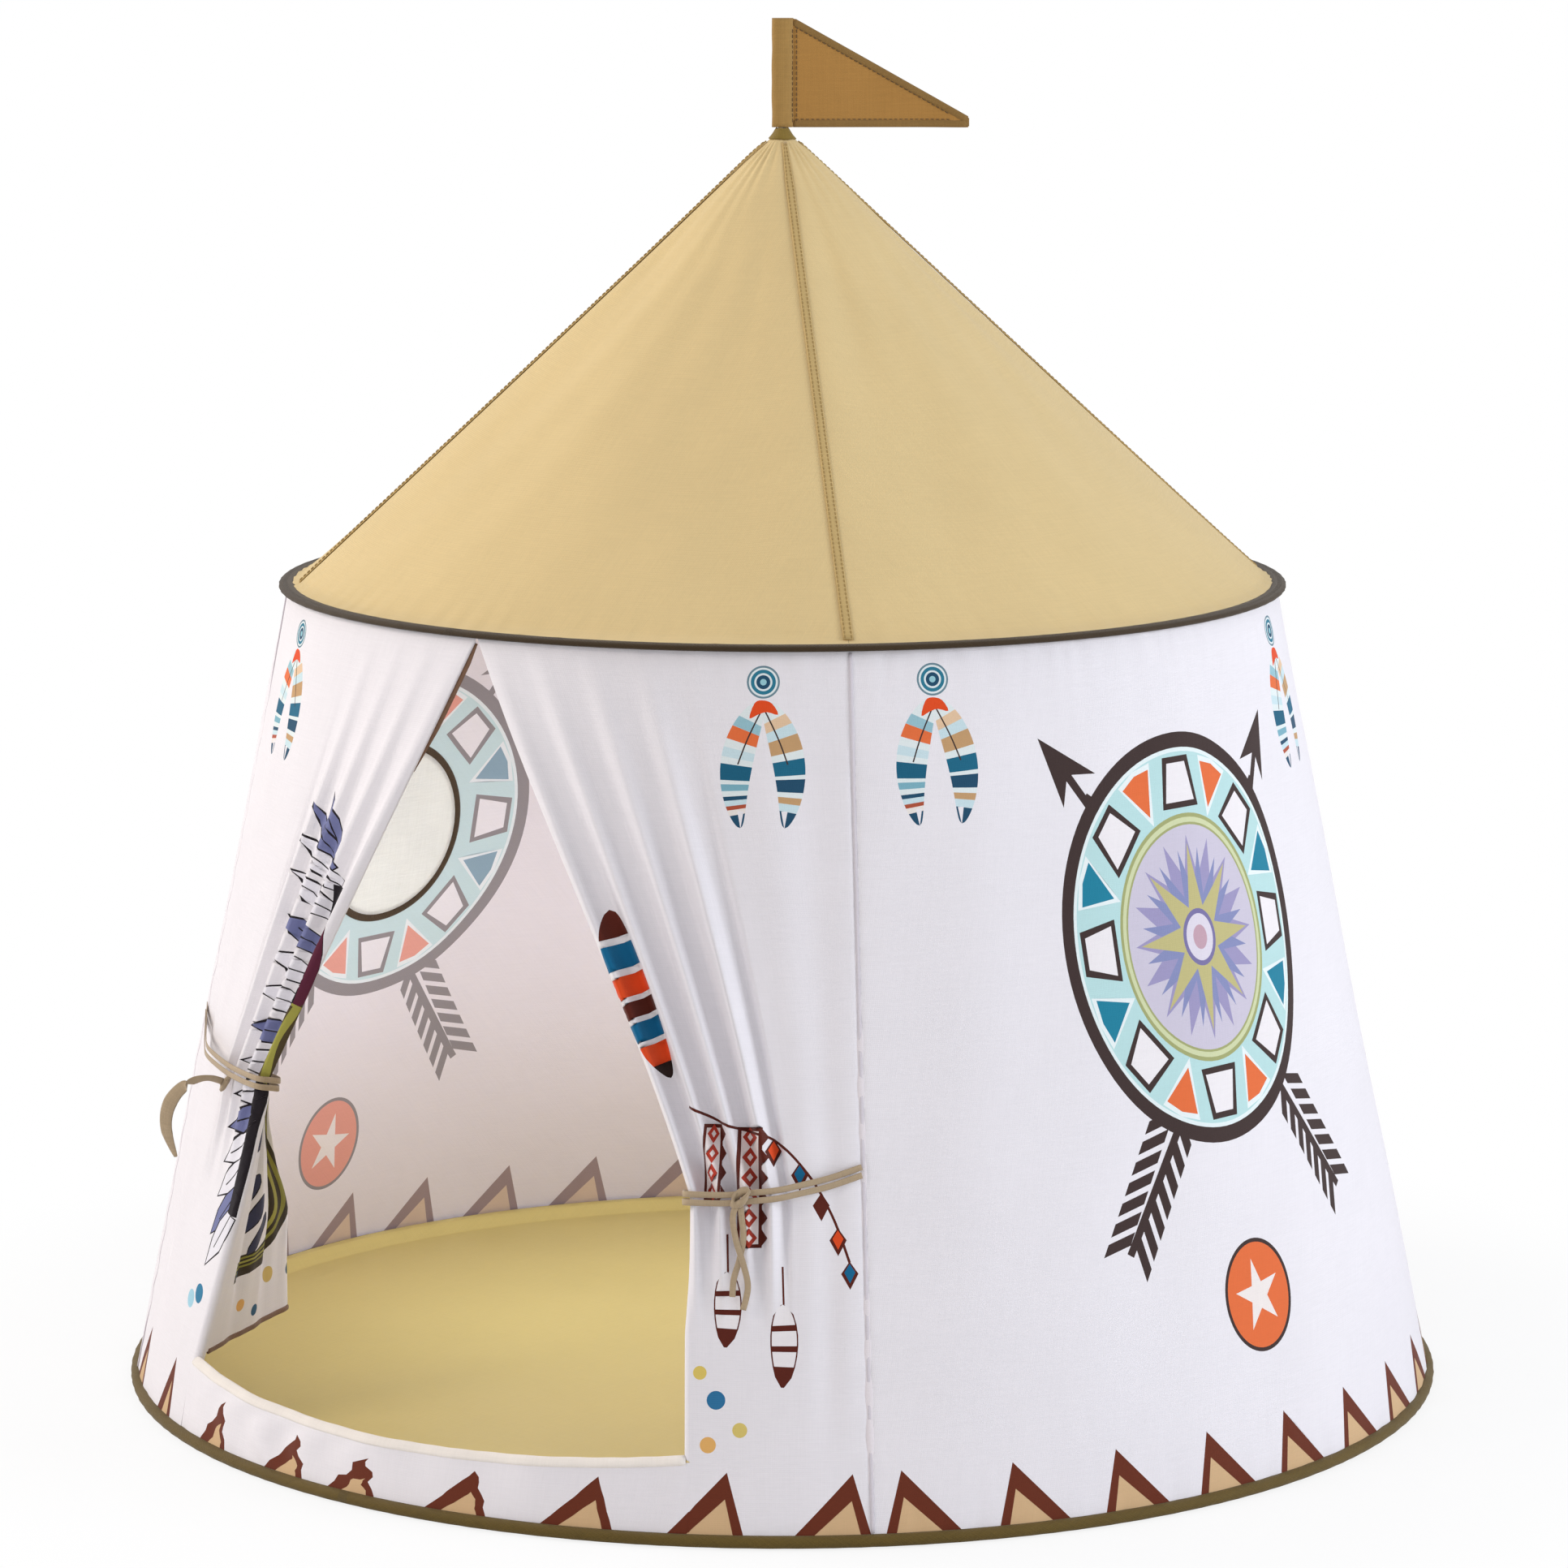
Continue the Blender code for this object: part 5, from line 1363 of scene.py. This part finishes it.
# Half the width of a gore's flat grid, out to the seam and to the cloth's edge just short of it.
GORE_HALF = 0.30
GORE_EDGE = 0.2999
ROOF_BRIM = 0.0045
# The same dull cloth as the walls, dyed in the piece, and thin enough to glow a little against the light.
sand_cloth = woven("polyester cotton, plain weave, sand", "#ECD39B", slub=0.07, roughness=0.85, sheen=0.15,
                   through=0.12)


def roof_place(heading, rise, out=0.0):
    """Points of the roof at headings in degrees and shares of the way up the slope, or below 0 on its brim."""
    turn = np.radians(heading)
    away = np.abs((heading - SEAM + 45) % 90 - 45) / 45
    up = np.clip(rise, 0, 1)
    radius = ROOF_EDGE_RADIUS + (ROOF_TIP_RADIUS - ROOF_EDGE_RADIUS) * up
    bowed = np.sin(math.pi * up ** 0.85) ** 0.8 * smooth((0.93 - up) / 0.22)
    gathers = 0.5 + 0.5 * np.sin(turn * 24 + 2 * np.sin(turn * 5))
    crease = 0.0018 * np.exp(-(1 - up) / 0.13) * gathers * smooth((1 - up) / 0.05)
    # The pole under a seam holds it up, so the cloth sags and waves only between the seams.
    soft = 0.0013 * bowed * smooth(away * 3) * (np.sin(turn * 9 + 4 * up) + 0.5 * np.sin(turn * 23 - 9 * up))
    foot = 0.0006 * np.exp(-up * SLOPE / 0.025) * np.sin(turn * 96 + 1.5 * np.sin(turn * 17))
    sag = -(0.0006 + 0.0084 * smooth(away * 2.6)) * bowed
    seam = -0.0006 * np.exp(-(math.radians(45) * away * radius / 0.006) ** 2)
    brim = np.maximum(-rise, 0) * SLOPE
    out = out + crease + soft + foot + sag + seam - HALF_SOLID
    height = ROOF_EDGE + (ROOF_TIP - ROOF_EDGE) * up - 0.30 * brim
    reach = radius + out * math.sin(PITCH) + brim
    return np.stack([reach * np.sin(turn), -reach * np.cos(turn), height + out * math.cos(PITCH)], axis=1)


def gore_lengths(flat):
    """Real lengths along a gore, for its weave."""
    radius = ROOF_EDGE_RADIUS + (ROOF_TIP_RADIUS - ROOF_EDGE_RADIUS) * flat[:, 1] / SLOPE
    return np.stack([np.radians(flat[:, 0] * SEAM / GORE_HALF) * radius, flat[:, 1]], axis=1)


gore_rows = np.concatenate([[-ROOF_BRIM], np.linspace(0, SLOPE, ROOF_ROWS)])
gore_columns = np.linspace(-GORE_EDGE, GORE_EDGE, ROOF_COLUMNS + 1)
gore_flat = np.array([(x, y) for y in gore_rows for x in gore_columns])
for k, name in enumerate(("front", "right", "back", "left")):
    def gore_place(flat, middle=90 * k):
        """Points of one gore from its flat grid."""
        return roof_place(middle + flat[:, 0] * SEAM / GORE_HALF, flat[:, 1] / SLOPE)

    gore = cloth(name + "_gore_cloth", gore_flat, grid(ROOF_COLUMNS, ROOF_ROWS), gore_place, sand_cloth,
                 gore_lengths)
    fit(gore, "roof_gore_" + name)

# Roof seams: two gores folded into each other and sewn flat in two rows, on the outside over each pole.
# Four layers of cloth let no light through, so a seam looks darker than the cloth beside it, and that darkness is
# painted shade in the seam cloth's colour.
SEAM_NAMES = {"front_right": 45.0, "back_right": 135.0, "back_left": 225.0, "front_left": 315.0}
ROOF_SEAM_POINTS = 90
ROOF_SEAM_THICK = 0.0014
STITCH = 0.0034
STITCH_GAP = 0.0011
# Sewing thread is about 0.3 mm thick, and is drawn 0.8 mm thick so that the stitches show.
THREAD = 0.0008
# The seam cloth's darker colour is painted shade, for the light that four layers of the same sand cloth keep out.
seam_cloth_painted_shade = woven("polyester cotton, felled seam, sand", "#CDB074", slub=0.14, roughness=0.85, through=0.0)


def spun_thread(name, colour):
    """Spun thread, a little glossier than the cloth and uneven along its length."""
    return woven(name, colour, thread=THREAD, slub=0.2, roughness=0.6, through=0.0)


thread_tan = spun_thread("spun polyester thread, tan", "#A98A4E")


def stitches(name, path, out, material):
    """A row of lock stitches along a path: each is a short float of thread on the cloth."""
    long, thick = STITCH, THREAD
    path, out = np.asarray(path, float), np.asarray(out, float)
    distance = np.concatenate([[0], np.cumsum(np.linalg.norm(np.diff(path, axis=0), axis=1))])
    starts = np.arange(STITCH_GAP, distance[-1] - long, long + STITCH_GAP)
    points, faces, weave = [], [], []
    for start in starts:
        ends = [np.array([np.interp(s, distance, path[:, k]) for k in range(3)]) for s in (start, start + long)]
        up = np.array([np.interp(start + long / 2, distance, out[:, k]) for k in range(3)])
        up /= np.linalg.norm(up)
        way = (ends[1] - ends[0]) / np.linalg.norm(ends[1] - ends[0])
        beside = np.cross(up, way)
        first = len(points)
        for share, width in ((0.0, 0.35), (0.3, 1.0), (0.7, 1.0), (1.0, 0.35)):
            middle = ends[0] + (ends[1] - ends[0]) * share
            for a, b in ((-1, 0), (0, 1), (1, 0), (0, -1)):
                points.append(middle + (beside * a + up * b) * thick / 2 * width)
                weave.append((start + long * share, a * thick / 2, b * thick / 2))
        for r in range(3):
            for c in range(4):
                n = (c + 1) % 4
                faces.append((first + r * 4 + c, first + (r + 1) * 4 + c, first + (r + 1) * 4 + n, first + r * 4 + n))
        faces += [tuple(first + c for c in range(4)), tuple(first + 12 + c for c in (3, 2, 1, 0))]
    return piece(name, points, faces, material, weave)


rises = np.linspace(0.002, 0.985, ROOF_SEAM_POINTS)
for name, heading in SEAM_NAMES.items():
    turn = math.radians(heading)
    path = roof_place(np.full(ROOF_SEAM_POINTS, heading), rises, ROOF_SEAM_THICK)
    beside = np.tile((math.cos(turn), math.sin(turn), 0.0), (ROOF_SEAM_POINTS, 1))
    wide = np.interp(rises, [0, 0.9, 1], [0.0085, 0.0075, 0.004])
    felled = swept("roof_seam_" + name, path, beside, wide, ROOF_SEAM_THICK, seam_cloth_painted_shade, sides=8, pucker=0.12,
                   pitch=0.021)
    fit(felled)
    normal = (math.sin(turn) * math.sin(PITCH), -math.cos(turn) * math.sin(PITCH), math.cos(PITCH))
    normal = np.tile(normal, (ROOF_SEAM_POINTS, 1))
    for side, hand in ((-1, "left"), (1, "right")):
        row = path + beside * side * (wide[:, None] / 2 - ROOF_SEAM_THICK) + normal * THREAD
        fit(stitches(f"roof_stitches_{name}_{hand}", row, normal, thread_tan))

# Wall seams: the edges of two panels folded into each other and sewn flat, in the cloth's own white.
# Each shows as a narrow strip from the base tape to the eave tape, and its grey is painted shade for the fine shadow
# line along the seam.
WALL_SEAM_POINTS = 120
# The strip's grey colour is painted shade; the real seam is the cloth's own white.
seam_painted_shade_grey = woven("polyester cotton, felled seam, white", "#D6D0D6", slub=0.10, roughness=0.9, through=0.0)
for name, heading in SEAM_NAMES.items():
    turn = math.radians(heading)
    heights = np.linspace(WALL_FOOT + 0.0005, WALL_HEAD - 0.0015, WALL_SEAM_POINTS)
    headings = np.full(WALL_SEAM_POINTS, heading)
    path = wall_place(headings, heights, wall_relief(headings, heights) + 0.0008)
    beside = np.tile((math.cos(turn), math.sin(turn), 0.0), (WALL_SEAM_POINTS, 1))
    felled = swept("wall_seam_" + name, path, beside, 0.0030, 0.0013, seam_painted_shade_grey, sides=8, pucker=0.15, pitch=0.019)
    fit(felled)

# Pole sleeves: cloth tubes sewn along the inside of each seam, one for the wall and one for the roof.
# Each is a strip of the same cloth, folded round the pole and wrinkled where it slackens.
SLEEVE_SIDES = 20
SLEEVE_THICKNESS = 0.0007
SLEEVE_STEP = 0.008
for name, made in list(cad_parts.items()):
    if not name.startswith(("wall_sleeve_", "roof_sleeve_")):
        continue
    corners = np.array([v.co for v in made.data.vertices], float)
    middle = corners.mean(axis=0)
    _, _, axes = np.linalg.svd(corners - middle, full_matrices=False)
    along = axes[0] if axes[0][2] > 0 else -axes[0]
    spread = (corners - middle) @ along
    length = spread.max() - spread.min()
    radius = float(np.linalg.norm(corners - middle - np.outer(spread, along), axis=1).max())
    steps = max(24, int(length / SLEEVE_STEP))
    side = np.cross(along, (0, 0, 1.0))
    side /= np.linalg.norm(side)
    other = np.cross(along, side)
    turn = np.linspace(0, 2 * math.pi, SLEEVE_SIDES, endpoint=False)
    points, weave = [], []
    for wall in (0.0, SLEEVE_THICKNESS):
        for s in np.linspace(spread.min(), spread.max(), steps):
            slack = 1 + 0.035 * np.sin(turn * 3 + s * 90) * math.sin(s * 41) + 0.03 * np.sin(turn * 2 - s * 60)
            reach = radius * 0.97 * slack - wall
            points += list(middle + along * s + side * (np.cos(turn) * reach)[:, None]
                           + other * (np.sin(turn) * reach)[:, None])
            weave += [(s, radius * t, wall) for t in turn]
    outer = grid(SLEEVE_SIDES, steps - 1, wraps=True)
    shift = steps * SLEEVE_SIDES
    last = shift - SLEEVE_SIDES
    inner = [tuple(i + shift for i in reversed(f)) for f in outer]
    round_it = [(c, (c + 1) % SLEEVE_SIDES) for c in range(SLEEVE_SIDES)]
    ends = [(b, a, a + shift, b + shift) for a, b in round_it]
    ends += [(last + a, last + b, last + b + shift, last + a + shift) for a, b in round_it]
    faces = outer + inner + ends
    if name.startswith("wall"):
        dyed = np.tile(linear(INNER_WHITE)[:3], (len(faces), 1))
        fit(piece(name + "_cloth", points, faces, printed_cotton, weave, None, dyed), name)
    else:
        fit(piece(name + "_cloth", points, faces, sand_cloth, weave), name)

# Tip patch: an olive cloth cone sewn over the tip where the four gores end, round the mast.
# It takes the wear of the mast and closes the hole in the roof.
TIP_SIDES = 32
turn = np.linspace(0, 2 * math.pi, TIP_SIDES, endpoint=False)
rings = [(0.0122, 1.0868), (0.0092, 1.0902), (0.0062, 1.0950), (0.0054, 1.0962), (0.0046, 1.0952), (0.0080, 1.0896),
         (0.0112, 1.0860)]
points = [(r * math.sin(t), -r * math.cos(t), z + 0.0003 * math.sin(5 * t)) for r, z in rings for t in turn]
weave = [(0.012 * t, 0.004 * k, 0) for k in range(len(rings)) for t in turn]
last = (len(rings) - 1) * TIP_SIDES
faces = grid(TIP_SIDES, len(rings) - 1, wraps=True)
faces += [(last + c, last + (c + 1) % TIP_SIDES, (c + 1) % TIP_SIDES, c) for c in range(TIP_SIDES)]
# Folded twice, so it is dark and stiff, and its weave is bold.
tip_olive = woven("polyester cotton, folded patch, olive", "#8C7430", thread=TWILL_THREAD, slub=0.2, roughness=0.75,
                  through=0.0)
fit(piece("roof_tip_patch", points, faces, tip_olive, weave))

# Pennant: a triangle of tan cloth on a flat sleeve that slips over the mast and turns on it.
# Its two long edges are bound with the same cloth, folded over and stitched.
FLAG_BOTTOM = 1.0965
FLAG_HEIGHT = 0.0935
FLAG_REACH = 0.1605
FLAG_TIP = 0.009
FLAG_START = 0.0080
FLAG_TURN = math.radians(37.8)
FLAG_SIDES = {"front": 1, "back": -1}
SLEEVE_HALF = 0.0092
SLEEVE_HALF_DEPTH = 0.0044
FLAG_EDGE = 0.0062
FLAG_EDGE_THICK = 0.0022
FLAG_STITCHES_IN = 0.0068
FLAG_EDGE_POINTS = 60
FLAG_SLEEVE_SIDES = 36
SLEEVE_STITCH_POINTS = 30
FLAG_WAY = np.array([math.cos(FLAG_TURN), math.sin(FLAG_TURN), 0.0])
FLAG_OUT = np.array([FLAG_WAY[1], -FLAG_WAY[0], 0.0])
# Tan cloth in one layer glows a little. Its folded edges and sleeve are thicker, darker and browner.
tan_cloth = woven("polyester cotton, plain weave, tan", "#B88947", slub=0.12, roughness=0.8, sheen=0.15, through=0.10)
tan_edge = woven("polyester cotton, folded edge, brown", "#8E6E3C", slub=0.15, roughness=0.8, through=0.0)
sleeve_cloth = woven("polyester cotton, folded sleeve, tan", "#A9854A", slub=0.14, roughness=0.8, through=0.0)
thread_brown = spun_thread("spun polyester thread, brown", "#6B5230")


def flag_wave(x, y):
    """How far the pennant waves to one side, more towards its tip."""
    away = np.clip((x - SLEEVE_HALF) / FLAG_REACH, 0, 1)
    return 0.0030 * away * np.sin(x * 46 + y * 14 + 0.6) + 0.0012 * away * np.sin(x * 90 - y * 40)


def flag_top(x):
    """The pennant's height at a distance from the mast."""
    share = np.clip((x - SLEEVE_HALF) / (FLAG_REACH - SLEEVE_HALF), 0, 1)
    return FLAG_HEIGHT + (FLAG_TIP - FLAG_HEIGHT) * share


def flag_at(x, y, out=0.0):
    """Points of the waving pennant at distances from the mast and heights above its foot."""
    shift = (flag_wave(x, y) + out)[:, None]
    return np.outer(x, FLAG_WAY) + shift * FLAG_OUT + np.stack([0 * x, 0 * x, FLAG_BOTTOM + y], axis=1)


def pennant_lengths(flat):
    """Real lengths along the pennant, whose flat grid is a rectangle."""
    return np.stack([flat[:, 0], flat[:, 1] / FLAG_HEIGHT * flag_top(flat[:, 0])], axis=1)


def pennant_place(flat):
    """Points of the pennant from its flat grid."""
    return flag_at(*pennant_lengths(flat).T)


flat = np.array([(x, y) for y in np.linspace(0, FLAG_HEIGHT, 25) for x in np.linspace(FLAG_START, FLAG_REACH, 61)])
pennant = cloth("pennant_cloth", flat, grid(60, 24), pennant_place, tan_cloth, pennant_lengths)
fit(pennant, "flag", "flag")

parts = []
xs = np.linspace(0.0098, FLAG_REACH - 0.0015, FLAG_EDGE_POINTS)
top = flag_top(xs)
for name, heights in (("top", top - 0.003), ("foot", np.full(FLAG_EDGE_POINTS, 0.003))):
    parts.append(swept(f"pennant_{name}_edge", flag_at(xs, heights), np.tile(UP, (FLAG_EDGE_POINTS, 1)), FLAG_EDGE,
                       FLAG_EDGE_THICK, tan_edge, pucker=0.05))
ys = np.linspace(0.001, FLAG_TIP - 0.001, 8)
parts.append(swept("pennant_tip_edge", flag_at(np.full(8, FLAG_REACH - 0.0012), ys), np.tile(FLAG_WAY, (8, 1)),
                   0.004, FLAG_EDGE_THICK, tan_edge))
# The stitches stop short of the tip, where the two edges meet.
for name, row, keep in (("top", top - FLAG_STITCHES_IN, top > 2 * FLAG_STITCHES_IN + 0.004),
                        ("foot", np.full(FLAG_EDGE_POINTS, FLAG_STITCHES_IN), top > 0.016)):
    for side, face in FLAG_SIDES.items():
        parts.append(stitches(f"pennant_stitches_{name}_{side}", flag_at(xs[keep], row[keep], 0.0006 * face),
                              np.tile(FLAG_OUT * face, (keep.sum(), 1)), thread_brown))

turn = np.linspace(0, 2 * math.pi, FLAG_SLEEVE_SIDES, endpoint=False)
levels = np.concatenate([[0.0], np.linspace(0.0, FLAG_HEIGHT, 26), [FLAG_HEIGHT]])
points, weave = [], []
for k, z in enumerate(levels):
    closed = 0.86 if k in (0, len(levels) - 1) else 1.0
    slack = 1 + 0.03 * np.sin(turn * 3 + z * 160) * math.sin(z * 70 + 0.4)
    x = np.sign(np.cos(turn)) * np.abs(np.cos(turn)) ** 0.9 * SLEEVE_HALF * closed * slack
    y = np.sin(turn) * SLEEVE_HALF_DEPTH * closed * slack
    points += list(np.outer(x, FLAG_WAY) + np.outer(y, FLAG_OUT) + (0, 0, FLAG_BOTTOM + z))
    weave += [(t * 0.009, z, 0) for t in turn]
last = len(points) - FLAG_SLEEVE_SIDES
faces = [f[::-1] for f in grid(FLAG_SLEEVE_SIDES, len(levels) - 1, wraps=True)]
faces += [tuple(range(FLAG_SLEEVE_SIDES)), tuple(last + c for c in range(FLAG_SLEEVE_SIDES))[::-1]]
parts.append(piece("pennant_sleeve", points, faces, sleeve_cloth, weave))
for side, face in FLAG_SIDES.items():
    for name, place, lift in (("inner", SLEEVE_HALF - 0.0005, 0.0019), ("outer", SLEEVE_HALF + 0.0030, 0.0007)):
        ys = np.linspace(0.003, FLAG_HEIGHT - 0.004 - place * 0.2, SLEEVE_STITCH_POINTS)
        xs, lifts = (np.full(SLEEVE_STITCH_POINTS, value) for value in (place, lift * face))
        parts.append(stitches(f"sleeve_stitches_{name}_{side}", flag_at(xs, ys, lifts),
                              np.tile(FLAG_OUT * face, (SLEEVE_STITCH_POINTS, 1)), thread_brown))
for made in parts:
    fit(made, body="flag")
